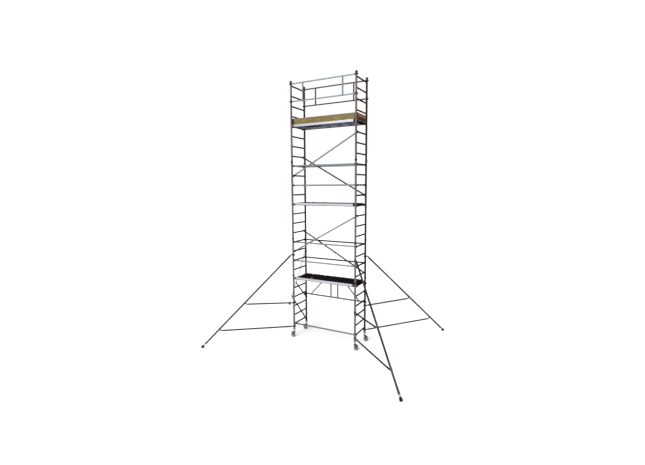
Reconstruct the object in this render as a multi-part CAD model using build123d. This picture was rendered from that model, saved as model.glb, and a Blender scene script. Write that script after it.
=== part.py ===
from build123d import *
import math
import os

# A narrow mobile access tower. Millimetres, +Z up, X along the platforms, Y across them.
# The origin is on the floor, in the middle between the four standards.

# Overall sizes
TOWER_LENGTH = 1800.0  # standard axis to standard axis, along X
TOWER_WIDTH = 650.0  # standard axis to standard axis, along Y
RUNG_PITCH = 250.0
FIRST_RUNG = 380.0  # lowest rung's axis above the floor
TOP_STUB = 120.0  # standard left above a frame's last rung
FRAMES = {"base_frame": (1, 6), "frame_1m": (7, 10), "mid_frame": (11, 18), "top_frame": (19, 26)}
PLATFORM_RUNGS = {"lower": 6, "middle": 14, "upper": 22}
STANDARD_FOOT = 245.0  # bottom end of the base frame's standards

# Tubes
STANDARD_OD = 50.8
STANDARD_WALL = 2.0
RUNG_OD = 38.0
RUNG_WALL = 1.8
BRACE_OD = 38.0
BRACE_WALL = 1.6
SLIDE_FIT = 0.3  # gap between pieces that slip over each other
RUN_FIT = 0.05  # radial clearance of a pin or ring that turns

# Frame joints
SPIGOT_HALF = 150.0
SPIGOT_WALL = 3.0
SOCKET_GROWTH = 0.3  # the tube's top end is opened out by this radius
SOCKET_DEPTH = 160.0
COLLAR_HEIGHT = 49.0
COLLAR_WALL = 4.0
LEVER_HALF = 7.0
LEVER_LOW = 8.0
LEVER_OUT = 6.0  # how far the snap lever stands out of its collar
LEVER_SHORT = 6.0

# Brace hooks
CLAW_WALL = 10.0
CLAW_LEG = 24.0
CLAW_WIDTH = 24.0
CLAW_NECK = 50.0  # rung axis to the start of the brace tube
CLAW_PLUG = 40.0
LATCH_THICK = 7.0
LATCH_WIDTH = 14.0
RAIL_INSET = 45.0  # guardrail plane inside the standards' plane
DIAGONAL_INSET = 87.0  # diagonal brace plane inside the standards' plane

# Platforms
DECK_RISE = 45.0  # deck's top above its rung's axis
BEAM_DROP = 20.0  # side beam's bottom below the rung's axis
BEAM_WIDTH = 30.0
BEAM_WALL = 3.0
STANDARD_GAP = 9.6  # between the side beam and the standard
PLATFORM_SETBACK = 50.0  # platform's end inside the rung's axis
END_WIDTH = 40.0
LEDGE = 14.0
LEDGE_THICK = 4.0
PLY = 12.0
PLY_GAP = 1.0
CROSS_WIDTH = 30.0
CROSS_RISE = 8.0  # cross member's bottom above the beam's
TRIM_DEPTH = 24.0
TRIM_LIP = 12.0  # trimmer's lip under the lid
TRIM_LIP_THICK = 6.0
HATCH_LENGTH = 600.0
HATCH_MARGIN = 35.0  # hatch's side inside the side beam
HATCH_SETBACK = 135.0  # hatch's end inside the platform's end
HATCH_GAP = 3.0
HINGE_R = 5.0
HINGE_PIN_R = 2.5
HINGE_LONG = 60.0
HINGE_LEAF = 26.0
LEAF_THICK = 2.5
FINGER_PLATE_HALF = 45.0
FINGER_PLATE_WIDTH = 30.0
FINGER_PLATE_INSET = 15.0
HOOK_WALL = 12.0
HOOK_WIDTH = 40.0
HOOK_INSET = 85.0  # platform hook's middle inside the standards' plane
WIND_LOCK_HALF = 10.0
WIND_LOCK_THICK = 8.0
WIND_LOCK_PIN_R = 6.0

# Toe boards
TOE_HEIGHT = 150.0
TOE_THICK = 18.0
TOE_OUT = 9.0  # end board's outer face outside the rungs' plane
TOE_CLIP = 3.0
TOE_CLIP_LEG = 60.0

# Guard frames of the top platform
GUARD_TOP = 1000.0  # top rail's axis above the deck
GUARD_DROP = 433.0  # mid rail's axis below the top rail's
GUARD_RAIL_OD = 34.0
GUARD_POST_OD = 38.0
GUARD_POST_X = 550.0
CLAMP_WALL = 7.5
CLAMP_HEIGHT = 44.0
CLAMP_LUG = 16.0  # how far the closing lug stands out of its ring
CLAMP_LUG_HALF = 9.0
LUG_SHORT = 8.0  # lug's end below its ring's end
CLAMP_NECK = 46.0  # standard's axis to the rail's end

# Folding gate of the base
GATE_LOW = 1068.0
GATE_HIGH = 1575.0
GATE_POST_X = 104.0
GATE_DIAGONAL_OD = 32.0
GATE_DIAGONAL_FOOT = 740.0
GATE_DIAGONAL_HEAD = 270.0
KNUCKLE_R = 13.0
KNUCKLE_HIGH = 18.0
KNUCKLE_HALF = 8.0
KNUCKLE_STOP = 18.0  # hinge pin's axis to the rail's end
KNUCKLE_LAP = 4.0
GATE_PIN_R = 6.0
GATE_PIN_HALF = 22.0
GATE_PIN_HEAD = 4.0

# Legs and castors
LEG_OD = 42.0
LEG_WALL = 3.0
LEG_BOTTOM = 165.0
LEG_LENGTH = 520.0
BUSH_LONG = 60.0
GUIDE_HIGH = 12.0
GUIDE_PLUG = 18.0
GUIDE_PLUG_WALL = 3.0
GUIDE_LAP = 0.8  # how far the guide's ring covers its plug
NUT_HEIGHT = 40.0
NUT_R = 31.0
NUT_EAR = 14.0
NUT_EAR_HALF = 6.0
WHEEL_R = 62.5
WHEEL_WIDTH = 32.0
WHEEL_HUB_WIDTH = 37.0
RIM_R = 46.0
RIM_WALL = 7.0
RIM_SHORT = 2.0  # rim's edge inside the tyre's
HUB_R = 15.0
WEB_HALF = 6.0
TREAD_ROUND = 7.0
WHEEL_TRAIL = 35.0
AXLE_R = 6.0
AXLE_HEAD_R = 10.0
AXLE_HEAD = 7.0
FORK_TOP = 150.0
FORK_PLATE = 6.0
FORK_R = 34.0
RACE_R = 19.0
CHEEK_GAP = 1.5
CHEEK_THICK = 4.0
CHEEK_LUG = 16.0  # cheek's metal round the axle
STEM_R = 10.0
STEM_LENGTH = 80.0
STEM_CLIP_OD = 28.0
STEM_CLIP = 4.0
PEDAL_X = 44.0
PEDAL_Z = 138.0
PEDAL_REACH = 56.0
PEDAL_HALF = 17.0
PEDAL_THICK = 5.0
PEDAL_LIP = 8.0  # the toe's lip, along and up
SHOE_HALF = 12.0
PIVOT_PIN_R = 3.0
BARREL_R = 6.0
SHOE_DROP = 12.0  # brake shoe's face below the pedal's pivot

# Stabilisers, in the upright plane through the standard's axis
LEG_TOP_Z = 2291.5  # the head pin, on the leg's own axis
FOOT_R = 2397.0
FOOT_Z = 42.0
OUTER_OD = 44.5
OUTER_WALL = 2.0
INNER_OD = 38.0
INNER_WALL = 2.5
INNER_SHOWN = 70.0
INNER_HIDDEN = 780.0
PAD_R = 34.0
PAD_LONG = 78.0
STRUT_OD = 38.0
STRUT_WALL = 1.6
STRUTS = {974.0: 1264.0, 311.0: 1929.0}  # clamp height: radius of the strut's outer pin
COUPLER_DROP = 60.0  # strut's pin below the leg's axis
LUG_WIDTH = 12.0
EAR_WIDTH = 8.0
BOLT_R = 5.0
PIN_FIT = 0.1  # radial clearance of a cross bolt
HEAD_LONG = 24.0  # head pin to the end of the outer leg
HEAD_HALF = 14.0
EAR_HALF = 12.0
EAR_LONG = 34.0  # pin to the end of a strut's tube
COUPLER_HALF = 28.0
COUPLER_WALL = 6.0
LOCK_COLLAR_WALL = 6.0
LOCK_COLLAR_OVER = 30.0  # on the outer leg
LOCK_COLLAR_PAST = 20.0  # past its end
PAD_ROUND = 8.0
PAD_SOCKET = 40.0
STAB_CLAMP_HEIGHT = 50.0
STAB_CLAMP_PIN = 58.0  # standard's axis to the clamp's pin
PIN_LUG = 13.0  # metal of a lug past its pin
STAB_LUG_HALF = 15.0
STAB_BOLT_OUT = 14.0  # closing lug out of the ring
STAB_BOLT_HALF = 8.0
COUPLER_LUG_HALF = 16.0

HALF_L = TOWER_LENGTH / 2
HALF_W = TOWER_WIDTH / 2
STANDARD_R = STANDARD_OD / 2
BORE_R = STANDARD_R - STANDARD_WALL
CORNERS = {"front_left": (-1, -1), "front_right": (1, -1), "back_left": (-1, 1), "back_right": (1, 1)}


def rung_z(number):
    return FIRST_RUNG + RUNG_PITCH * (number - 1)


def rod(start, end, radius):
    """A solid round bar from one point to another."""
    line = Vector(*end) - Vector(*start)
    return extrude(Plane(origin=start, z_dir=line) * Circle(radius), amount=line.length)


def tube(start, end, outer, wall):
    """A hollow round tube from one point to another."""
    line = Vector(*end) - Vector(*start)
    ring = Circle(outer / 2) - Circle(outer / 2 - wall)
    return extrude(Plane(origin=start, z_dir=line) * ring, amount=line.length)


def block(low, high):
    """A box from its lowest to its highest corner."""
    size = Vector(*high) - Vector(*low)
    return Pos(*low) * Box(size.X, size.Y, size.Z, align=(Align.MIN, Align.MIN, Align.MIN))


def bar(low, high, wall):
    """A box that is hollow along its longest side."""
    size = Vector(*high) - Vector(*low)
    longest = max(size.X, size.Y, size.Z)
    inset = [0 if side == longest else wall for side in (size.X, size.Y, size.Z)]
    inside = block([a + i for a, i in zip(low, inset)], [b - i for b, i in zip(high, inset)])
    return block(low, high) - inside


def save(node, pieces):
    """Write one sub-part, as separate solids, to parts/NODE.step."""
    solids = [solid for piece in pieces for solid in piece.solids()]
    export_step(Compound(solids), f"parts/{node}.step")


# ---- ladder frames ----

def frame(side, first, last):
    """One ladder frame: two standards, its rungs, and the spigots that go into the frame below."""
    x = side * HALF_L
    top = rung_z(last) + TOP_STUB
    bottom = STANDARD_FOOT if first == 1 else rung_z(first - 1) + TOP_STUB
    pieces = []
    for y in (-HALF_W, HALF_W):
        socket = rod((x, y, top - SOCKET_DEPTH), (x, y, top), BORE_R + SOCKET_GROWTH)
        pieces.append(tube((x, y, bottom), (x, y, top), STANDARD_OD, STANDARD_WALL) - socket)
        if first > 1:
            ends = (x, y, bottom - SPIGOT_HALF), (x, y, bottom + SPIGOT_HALF)
            pieces.append(tube(*ends, 2 * BORE_R - 0.2, SPIGOT_WALL))
    for number in range(first, last + 1):
        z = rung_z(number)
        rung = tube((x, -HALF_W, z), (x, HALF_W, z), RUNG_OD, RUNG_WALL)
        for y in (-HALF_W, HALF_W):
            rung -= rod((x, y, z - RUNG_OD), (x, y, z + RUNG_OD), STANDARD_R)
        pieces.append(rung)
    return pieces


def lock_collar(side, y, top):
    """The nylon collar and its snap lever on a standard's top end."""
    inner = STANDARD_R + RUN_FIT
    ring = tube((0, 0, 0), (0, 0, COLLAR_HEIGHT), 2 * (inner + COLLAR_WALL), COLLAR_WALL)
    outer = inner + COLLAR_WALL + LEVER_OUT
    lever = block((inner + 1, -LEVER_HALF, LEVER_LOW), (outer, LEVER_HALF, COLLAR_HEIGHT - LEVER_SHORT))
    turn = 0 if side > 0 else 180
    return Pos(side * HALF_L, y, top - 1 - COLLAR_HEIGHT) * Rot(0, 0, turn) * (ring + lever)


# ---- braces ----

def claw():
    """A cast hook: an inverted U over the rung, a neck, and a plug inside the brace tube."""
    inner = RUNG_OD / 2 + SLIDE_FIT
    outer = inner + CLAW_WALL
    jaw = Circle(outer) + Pos(0, -CLAW_LEG / 2) * Rectangle(2 * outer, CLAW_LEG)
    throat = Circle(inner) + Pos(0, -CLAW_LEG) * Rectangle(2 * inner, 2 * CLAW_LEG)
    plate = extrude(Plane.XZ * (jaw - throat), amount=CLAW_WIDTH / 2, both=True)
    neck = rod((outer - 4, 0, 0), (CLAW_NECK, 0, 0), BRACE_OD / 2)
    plug_r = BRACE_OD / 2 - BRACE_WALL - SLIDE_FIT
    return plate + neck + rod((CLAW_NECK - 1, 0, 0), (CLAW_NECK + CLAW_PLUG, 0, 0), plug_r)


def latch():
    """The sprung latch that closes a claw below the rung."""
    reach = RUNG_OD / 2 + CLAW_WALL
    half = LATCH_WIDTH / 2
    return block((-reach, -half, -CLAW_LEG - LATCH_THICK), (reach, half, -CLAW_LEG))


def brace(rungs, y):
    """A brace from a left rung to a right rung, with its tube, claws and latches apart."""
    left = Vector(-HALF_L, y, rung_z(rungs[0]))
    right = Vector(HALF_L, y, rung_z(rungs[1]))
    along = (right - left).normalized()
    pipe = tube(left + along * CLAW_NECK, right - along * CLAW_NECK, BRACE_OD, BRACE_WALL)
    places = []
    for at, way in ((left, along), (right, -along)):
        up = Vector(-way.Z, 0, way.X) if way.X > 0 else Vector(way.Z, 0, -way.X)
        places.append(Plane(origin=at, x_dir=way, z_dir=up).location)
    return pipe, [p * claw() for p in places], [p * latch() for p in places]


# ---- platforms ----

def deck_top(name):
    return rung_z(PLATFORM_RUNGS[name]) + DECK_RISE


PLATFORM_END = HALF_L - PLATFORM_SETBACK
PLATFORM_SIDE = HALF_W - STANDARD_R - STANDARD_GAP
BEAM_INSIDE = PLATFORM_SIDE - BEAM_WIDTH
HATCH_LEFT = -PLATFORM_END + HATCH_SETBACK
HATCH_RIGHT = HATCH_LEFT + HATCH_LENGTH
HATCH_SIDE = BEAM_INSIDE - HATCH_MARGIN
HATCH_WIDTH = 2 * HATCH_SIDE
HINGE_Y = HATCH_SIDE + HATCH_GAP
HINGE_LIFT = HINGE_R + SLIDE_FIT  # hinge pin's axis above the deck
HINGE_XS = (HATCH_LEFT + HATCH_LENGTH / 5, HATCH_RIGHT - HATCH_LENGTH / 5)


def platform_frame(name):
    """Two extruded side beams with ledges, end members, cross members, trimmers and hinge leaves."""
    top = deck_top(name)
    low = rung_z(PLATFORM_RUNGS[name]) - BEAM_DROP
    seat = top - PLY
    end, inside = PLATFORM_END, BEAM_INSIDE
    pieces = []
    for y in (-1, 1):
        beam = bar((-end, inside, low), (end, PLATFORM_SIDE, top), BEAM_WALL)
        ledge = block((-end + END_WIDTH, inside - LEDGE, seat - LEDGE_THICK), (end - END_WIDTH, inside, seat))
        member = beam + ledge
        pieces.append(member if y > 0 else mirror(member, about=Plane.XZ))
    for x in (-1, 1):
        member = bar((end - END_WIDTH, -inside, low), (end, inside, top), BEAM_WALL)
        pieces.append(member if x > 0 else mirror(member, about=Plane.YZ))
    under = seat - LEDGE_THICK
    crosses = [HATCH_LEFT - CROSS_WIDTH, HATCH_RIGHT]
    spare = end - END_WIDTH - HATCH_RIGHT
    crosses += [HATCH_RIGHT + spare / 3, HATCH_RIGHT + 2 * spare / 3]
    for x in crosses:
        floor = low + CROSS_RISE
        body = block((x, -inside, floor), (x + CROSS_WIDTH, inside, under))
        body += block((x, -inside + LEDGE, under), (x + CROSS_WIDTH, inside - LEDGE, seat))
        hollow = (x + BEAM_WALL, -inside, floor + BEAM_WALL), (x + CROSS_WIDTH - BEAM_WALL, inside, under)
        pieces.append(body - block(*hollow))
    for y in (-1, 1):
        rail = block((HATCH_LEFT, HATCH_SIDE, seat - TRIM_DEPTH), (HATCH_RIGHT, inside - LEDGE - 1, seat))
        lip_low = HATCH_LEFT, HATCH_SIDE - TRIM_LIP, seat - TRIM_LIP_THICK
        rail += block(lip_low, (HATCH_RIGHT, HATCH_SIDE, seat - SLIDE_FIT))
        pieces.append(rail if y > 0 else mirror(rail, about=Plane.XZ))
    for x in HINGE_XS:
        pieces += fixed_hinge(x, top)
    return pieces


def leaf(x, top, way, knuckles):
    """One hinge leaf on the deck: a plate, tongues and the barrels named by their x spans."""
    near = HINGE_Y + way * (HINGE_R + 0.6)
    far = HINGE_Y + way * (HINGE_R + HINGE_LEAF)
    low, high = min(near, far), max(near, far)
    shape = block((x - HINGE_LONG / 2, low, top), (x + HINGE_LONG / 2, high, top + LEAF_THICK))
    axis = top + HINGE_LIFT
    for a, b in knuckles:
        inner = HINGE_Y + way * 1.5
        tongue = block(
            (x + a, min(inner, near), top + SLIDE_FIT),
            (x + b, max(inner, near), top + LEAF_THICK),
        )
        shape += tongue + rod((x + a, HINGE_Y, axis), (x + b, HINGE_Y, axis), HINGE_R)
    bore = HINGE_PIN_R + RUN_FIT
    return shape - rod((x - HINGE_LONG, HINGE_Y, axis), (x + HINGE_LONG, HINGE_Y, axis), bore)


def fixed_hinge(x, top):
    """The deck's leaf of a trapdoor hinge, and the pin."""
    half, third = HINGE_LONG / 2, HINGE_LONG / 5
    axis = top + HINGE_LIFT
    pin = rod((x - half, HINGE_Y, axis), (x + half, HINGE_Y, axis), HINGE_PIN_R)
    return [leaf(x, top, 1, [(-half, -third), (third, half)]), pin]


def platform_deck(name):
    """The plywood: a large panel, a strip at the left end and two strips beside the hatch."""
    top = deck_top(name)
    seat = top - PLY
    end = PLATFORM_END - END_WIDTH - PLY_GAP
    side = BEAM_INSIDE - PLY_GAP
    open_left, open_right = HATCH_LEFT - HATCH_GAP, HATCH_RIGHT + HATCH_GAP
    open_side = HATCH_SIDE + HATCH_GAP - 1
    panel = block((open_right, -side, seat), (end, side, top))
    strip = block((-end, -side, seat), (open_left, side, top))
    edge = block((open_left, open_side, seat), (open_right, side, top))
    return [panel, strip, edge, mirror(edge, about=Plane.XZ)]


def trapdoor(name):
    """The hinged hatch lid, its two hinge leaves and its finger plate."""
    top = deck_top(name)
    lid = block((HATCH_LEFT, -HATCH_SIDE, top - PLY), (HATCH_RIGHT, HATCH_SIDE, top))
    third = HINGE_LONG / 5 - SLIDE_FIT
    pieces = [lid]
    for x in HINGE_XS:
        pieces.append(leaf(x, top, -1, [(-third, third)]))
    middle = (HATCH_LEFT + HATCH_RIGHT) / 2
    edge = -HATCH_SIDE + FINGER_PLATE_INSET
    low = middle - FINGER_PLATE_HALF, edge, top
    high = middle + FINGER_PLATE_HALF, edge + FINGER_PLATE_WIDTH, top + LEAF_THICK
    plate = block(low, high)
    pieces.append(plate)
    return pieces


def platform_hooks(name):
    """Four cast hooks over the rungs, each with the wind lock that turns under the rung."""
    z = rung_z(PLATFORM_RUNGS[name])
    inner = RUNG_OD / 2 + SLIDE_FIT
    outer = inner + HOOK_WALL
    back = -PLATFORM_SETBACK
    jaw = Circle(outer) + Pos(back / 2, outer / 2) * Rectangle(-back, outer)
    jaw += Pos(back / 2, -BEAM_DROP / 2 + 1) * Rectangle(-back, BEAM_DROP - 2)
    jaw += Pos(outer / 2, -BEAM_DROP / 2) * Rectangle(outer, BEAM_DROP)
    jaw -= Pos(0, -outer) * Rectangle(2 * inner, 2 * outer)
    jaw -= Pos(0, -outer - BEAM_DROP) * Rectangle(3 * outer, 2 * outer)
    jaw -= Circle(inner)
    hook = extrude(Plane.XZ * jaw, amount=HOOK_WIDTH / 2, both=True)
    high = -BEAM_DROP - 1
    lock = block((back + 6, -WIND_LOCK_HALF, high - WIND_LOCK_THICK), (outer - 2, WIND_LOCK_HALF, high))
    lock += rod((back + 16, 0, high - 4), (back + 16, 0, -BEAM_DROP), WIND_LOCK_PIN_R)
    pieces = []
    for side in (-1, 1):
        for y in (-1, 1):
            turn = 0 if side > 0 else 180
            place = Pos(side * HALF_L, y * (HALF_W - HOOK_INSET), z) * Rot(0, 0, turn)
            pieces += [place * hook, place * lock]
    return pieces


# ---- toe boards and guard frames of the top platform ----

TOE_END = HALF_L + TOE_OUT


def toe_boards_side():
    z = deck_top("upper")
    outside = PLATFORM_SIDE
    board = block((-TOE_END, outside - TOE_THICK, z), (TOE_END, outside, z + TOE_HEIGHT))
    return [board, mirror(board, about=Plane.XZ)]


def toe_boards_end():
    z = deck_top("upper")
    side = PLATFORM_SIDE - TOE_THICK
    board = block((TOE_END - TOE_THICK, -side, z), (TOE_END, side, z + TOE_HEIGHT))
    return [board, mirror(board, about=Plane.YZ)]


def toe_board_clips():
    """Four folded corner clips that hold the boards together."""
    z = deck_top("upper")
    x, y = TOE_END, PLATFORM_SIDE
    high = z + TOE_HEIGHT
    clip = block((x - TOE_CLIP_LEG, y, z), (x + TOE_CLIP, y + TOE_CLIP, high))
    clip += block((x, y - TOE_CLIP_LEG, z), (x + TOE_CLIP, y + TOE_CLIP, high))
    left = mirror(clip, about=Plane.YZ)
    return [clip, left, mirror(clip, about=Plane.XZ), mirror(left, about=Plane.XZ)]


def guard_heights():
    top = deck_top("upper") + GUARD_TOP
    return top, top - GUARD_DROP


def guard_frame(y):
    """A welded guard frame: two rails and two posts."""
    top, mid = guard_heights()
    end = HALF_L - CLAMP_NECK
    pieces = [tube((-end, y, z), (end, y, z), GUARD_RAIL_OD, BRACE_WALL) for z in (top, mid)]
    rail_r = GUARD_RAIL_OD / 2
    for x in (-GUARD_POST_X, GUARD_POST_X):
        post = tube((x, y, mid + rail_r / 2), (x, y, top - rail_r / 2), GUARD_POST_OD, BRACE_WALL)
        for z in (top, mid):
            post -= rod((x - GUARD_POST_OD, y, z), (x + GUARD_POST_OD, y, z), rail_r)
        pieces.append(post)
    return pieces


def standard_clamp(height, neck_r, neck_end):
    """A ring clamp round a standard, with a closing lug and a neck towards +X."""
    inner = STANDARD_R + RUN_FIT
    outer = inner + CLAMP_WALL
    ring = rod((0, 0, -height / 2), (0, 0, height / 2), outer)
    high = height / 2 - LUG_SHORT
    lug = block((-outer - CLAMP_LUG, -CLAMP_LUG_HALF, -high), (-inner, CLAMP_LUG_HALF, high))
    neck = rod((inner, 0, 0), (neck_end, 0, 0), neck_r)
    return ring + lug + neck - rod((0, 0, -height), (0, 0, height), inner)


def guard_frame_clamps():
    """Eight clamps: one at each end of each guard frame rail."""
    shape = standard_clamp(CLAMP_HEIGHT, GUARD_RAIL_OD / 2, CLAMP_NECK)
    pieces = []
    for z in guard_heights():
        for side, y in CORNERS.values():
            turn = 180 if side > 0 else 0
            pieces.append(Pos(side * HALF_L, y * HALF_W, z) * Rot(0, 0, turn) * shape)
    return pieces


# ---- folding gate of the base ----

def gate_half(side):
    """Half of the folding gate: clamps, rails, hinge knuckles, post, diagonal and hinge pins."""
    y = HALF_W
    pieces = []
    rail_r = BRACE_OD / 2
    stop, near = side * KNUCKLE_STOP, side * (KNUCKLE_STOP + KNUCKLE_LAP)
    for z in (GATE_LOW, GATE_HIGH):
        shape = standard_clamp(CLAMP_HEIGHT, rail_r, CLAMP_NECK)
        pieces.append(Pos(side * HALF_L, y, z) * Rot(0, 0, 180 if side > 0 else 0) * shape)
        outer_end = side * (HALF_L - CLAMP_NECK)
        pieces.append(tube((outer_end, y, z), (near, y, z), BRACE_OD, BRACE_WALL))
        low, high = (z + SLIDE_FIT, z + KNUCKLE_HIGH) if side < 0 else (z - KNUCKLE_HIGH, z - SLIDE_FIT)
        knuckle = rod((0, y, low), (0, y, high), KNUCKLE_R)
        knuckle += block((min(0, stop), y - KNUCKLE_HALF, low), (max(0, stop), y + KNUCKLE_HALF, high))
        knuckle += rod((stop, y, z), (near, y, z), rail_r)
        pieces.append(knuckle - rod((0, y, z - BRACE_OD), (0, y, z + BRACE_OD), GATE_PIN_R + RUN_FIT))
        if side < 0:
            pin = rod((0, y, z - GATE_PIN_HALF), (0, y, z + GATE_PIN_HALF), GATE_PIN_R)
            head = (0, y, z + KNUCKLE_HIGH + SLIDE_FIT), (0, y, z + GATE_PIN_HALF + 2)
            pieces.append(pin + rod(*head, GATE_PIN_R + GATE_PIN_HEAD))
    x = side * GATE_POST_X
    post = tube((x, y, GATE_LOW), (x, y, GATE_HIGH), BRACE_OD, BRACE_WALL)
    foot = (side * GATE_DIAGONAL_FOOT, y, GATE_LOW)
    head = (side * GATE_DIAGONAL_HEAD, y, GATE_HIGH)
    stay = tube(foot, head, GATE_DIAGONAL_OD, BRACE_WALL)
    for z in (GATE_LOW, GATE_HIGH):
        cut = rod((-HALF_L, y, z), (HALF_L, y, z), rail_r)
        post -= cut
        stay -= cut
    return pieces + [post, stay]


# ---- adjustable legs and castors, made at the origin and then placed under a standard ----

def adjustable_leg():
    """The leg's tube, the turned bush in its lower end and a cap on its upper end."""
    top = LEG_BOTTOM + LEG_LENGTH
    pipe = tube((0, 0, LEG_BOTTOM), (0, 0, top), LEG_OD, LEG_WALL)
    bush_r = LEG_OD / 2 - LEG_WALL - RUN_FIT
    bush = rod((0, 0, LEG_BOTTOM), (0, 0, LEG_BOTTOM + BUSH_LONG), bush_r)
    bush -= rod((0, 0, LEG_BOTTOM - 1), (0, 0, LEG_BOTTOM + BUSH_LONG + 1), STEM_R + RUN_FIT)
    plug_r = LEG_OD / 2 - LEG_WALL - PIN_FIT
    guide_r = BORE_R - SLIDE_FIT
    guide = tube((0, 0, top + 0.1), (0, 0, top + GUIDE_HIGH), 2 * guide_r, guide_r - plug_r + GUIDE_LAP)
    guide += tube((0, 0, top - GUIDE_PLUG), (0, 0, top + GUIDE_HIGH / 2), 2 * plug_r, GUIDE_PLUG_WALL)
    return [pipe, bush, guide]


def adjusting_nut():
    """The winged nut that carries the standard on the leg's thread."""
    bore = LEG_OD / 2 + RUN_FIT
    low = STANDARD_FOOT - SLIDE_FIT - NUT_HEIGHT
    body = rod((0, 0, low), (0, 0, low + NUT_HEIGHT), NUT_R)
    for angle in range(0, 360, 90):
        corner = NUT_R + NUT_EAR, NUT_EAR_HALF, low + NUT_HEIGHT - NUT_EAR_HALF
        ear = block((NUT_R - 4, -NUT_EAR_HALF, low + NUT_EAR_HALF), corner)
        body += Rot(0, 0, angle) * ear
    return [body - rod((0, 0, low - 1), (0, 0, low + NUT_HEIGHT + 1), bore)]


def castor_fork():
    """The swivel fork with its stem and retaining ring, and the axle bolt. It trails towards +X."""
    gap = WHEEL_HUB_WIDTH / 2 + CHEEK_GAP
    plate = rod((0, 0, FORK_TOP), (0, 0, FORK_TOP + FORK_PLATE), FORK_R)
    plate += block((0, -gap - CHEEK_THICK, FORK_TOP), (PEDAL_X + 2, gap + CHEEK_THICK, FORK_TOP + FORK_PLATE))
    plate += rod((0, 0, FORK_TOP + FORK_PLATE - 1), (0, 0, LEG_BOTTOM - SLIDE_FIT), RACE_R)
    plate += rod((0, 0, FORK_TOP), (0, 0, FORK_TOP + FORK_PLATE + STEM_LENGTH), STEM_R)
    outline = [
        (-20, FORK_TOP + 2),
        (PEDAL_X + 10, FORK_TOP + 2),
        (PEDAL_X + 10, PEDAL_Z - 8),
        (WHEEL_TRAIL + CHEEK_LUG, WHEEL_R),
        (WHEEL_TRAIL, WHEEL_R - CHEEK_LUG),
        (WHEEL_TRAIL - CHEEK_LUG, WHEEL_R),
    ]
    cheek = extrude(Plane.XZ * make_face(Polyline(*outline, close=True)), amount=CHEEK_THICK)
    fork = plate + Pos(0, -gap, 0) * cheek + Pos(0, gap + CHEEK_THICK, 0) * cheek
    wide = gap + CHEEK_THICK + 1
    fork -= rod((WHEEL_TRAIL, -wide, WHEEL_R), (WHEEL_TRAIL, wide, WHEEL_R), AXLE_R + RUN_FIT)
    fork -= rod((PEDAL_X, -wide, PEDAL_Z), (PEDAL_X, wide, PEDAL_Z), PIVOT_PIN_R + RUN_FIT)
    face = gap + CHEEK_THICK
    axle = rod((WHEEL_TRAIL, -face, WHEEL_R), (WHEEL_TRAIL, face, WHEEL_R), AXLE_R)
    for way in (-1, 1):
        seat = Plane(origin=(WHEEL_TRAIL, way * face, WHEEL_R), z_dir=(0, way, 0))
        axle += extrude(seat * RegularPolygon(AXLE_HEAD_R, 6), amount=AXLE_HEAD)
    low = LEG_BOTTOM + BUSH_LONG + SLIDE_FIT
    clip = tube((0, 0, low), (0, 0, low + STEM_CLIP), STEM_CLIP_OD, STEM_CLIP_OD / 2 - STEM_R - RUN_FIT)
    return [fork, axle, clip]


def castor_wheel():
    """The moulded wheel centre and its tyre, on the axle's line."""
    half_hub, half = WHEEL_HUB_WIDTH / 2, WHEEL_WIDTH / 2
    bore = AXLE_R + RUN_FIT
    well, edge = RIM_R - RIM_WALL, half - RIM_SHORT
    profile = [(bore, -half_hub), (HUB_R, -half_hub), (HUB_R, -WEB_HALF)]
    profile += [(well, -WEB_HALF), (well, -edge), (RIM_R, -edge)]
    profile += [(r, -y) for r, y in reversed(profile)]
    centre = revolve(Plane.XY * make_face(Polyline(*profile, close=True)), Axis.Y)
    section = Pos((RIM_R + RUN_FIT + WHEEL_R) / 2, 0) * Rectangle(WHEEL_R - RIM_R - RUN_FIT, WHEEL_WIDTH)
    outer = section.vertices().filter_by(lambda v: v.X > WHEEL_R - 1)
    tyre = revolve(fillet(outer, TREAD_ROUND), Axis.Y)
    place = Pos(WHEEL_TRAIL, 0, WHEEL_R)
    return [place * centre, place * tyre]


def brake_pedal():
    """The foot pedal, its pivot barrel with pin ends, and the shoe over the tyre."""
    gap = WHEEL_HUB_WIDTH / 2 + CHEEK_GAP
    x, z = PEDAL_X, PEDAL_Z
    shape = rod((x, -gap + SLIDE_FIT, z), (x, gap - SLIDE_FIT, z), BARREL_R)
    shape += rod((x, -gap - CHEEK_THICK, z), (x, gap + CHEEK_THICK, z), PIVOT_PIN_R)
    toe, half = x + PEDAL_REACH, PEDAL_HALF
    under = z - PEDAL_THICK / 2
    shape += block((x, -half, under), (toe, half, under + PEDAL_THICK))
    shape += block((toe - PEDAL_LIP, -half, under), (toe, half, z + PEDAL_LIP))
    shape += block((x - 4, -SHOE_HALF, z - SHOE_DROP), (x + 4, SHOE_HALF, z))
    return [shape]


def under_standard(corner, pieces):
    """Place pieces made at the origin under a standard, trailing away from the tower's middle."""
    side, y = CORNERS[corner]
    place = Pos(side * HALF_L, y * HALF_W, 0) * Rot(0, 0, 0 if side > 0 else 180)
    return [place * piece for piece in pieces]


# ---- stabilisers, made in the XZ plane with the standard's axis as Z, and then turned ----

LEG_TOP = Vector(STAB_CLAMP_PIN, 0, LEG_TOP_Z)
LEG_LINE = (Vector(FOOT_R, 0, FOOT_Z) - LEG_TOP).normalized()
LEG_ACROSS = Vector(LEG_LINE.Z, 0, -LEG_LINE.X)  # points down and towards the tower
LEG_SPAN = (Vector(FOOT_R, 0, FOOT_Z) - LEG_TOP).length


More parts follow.
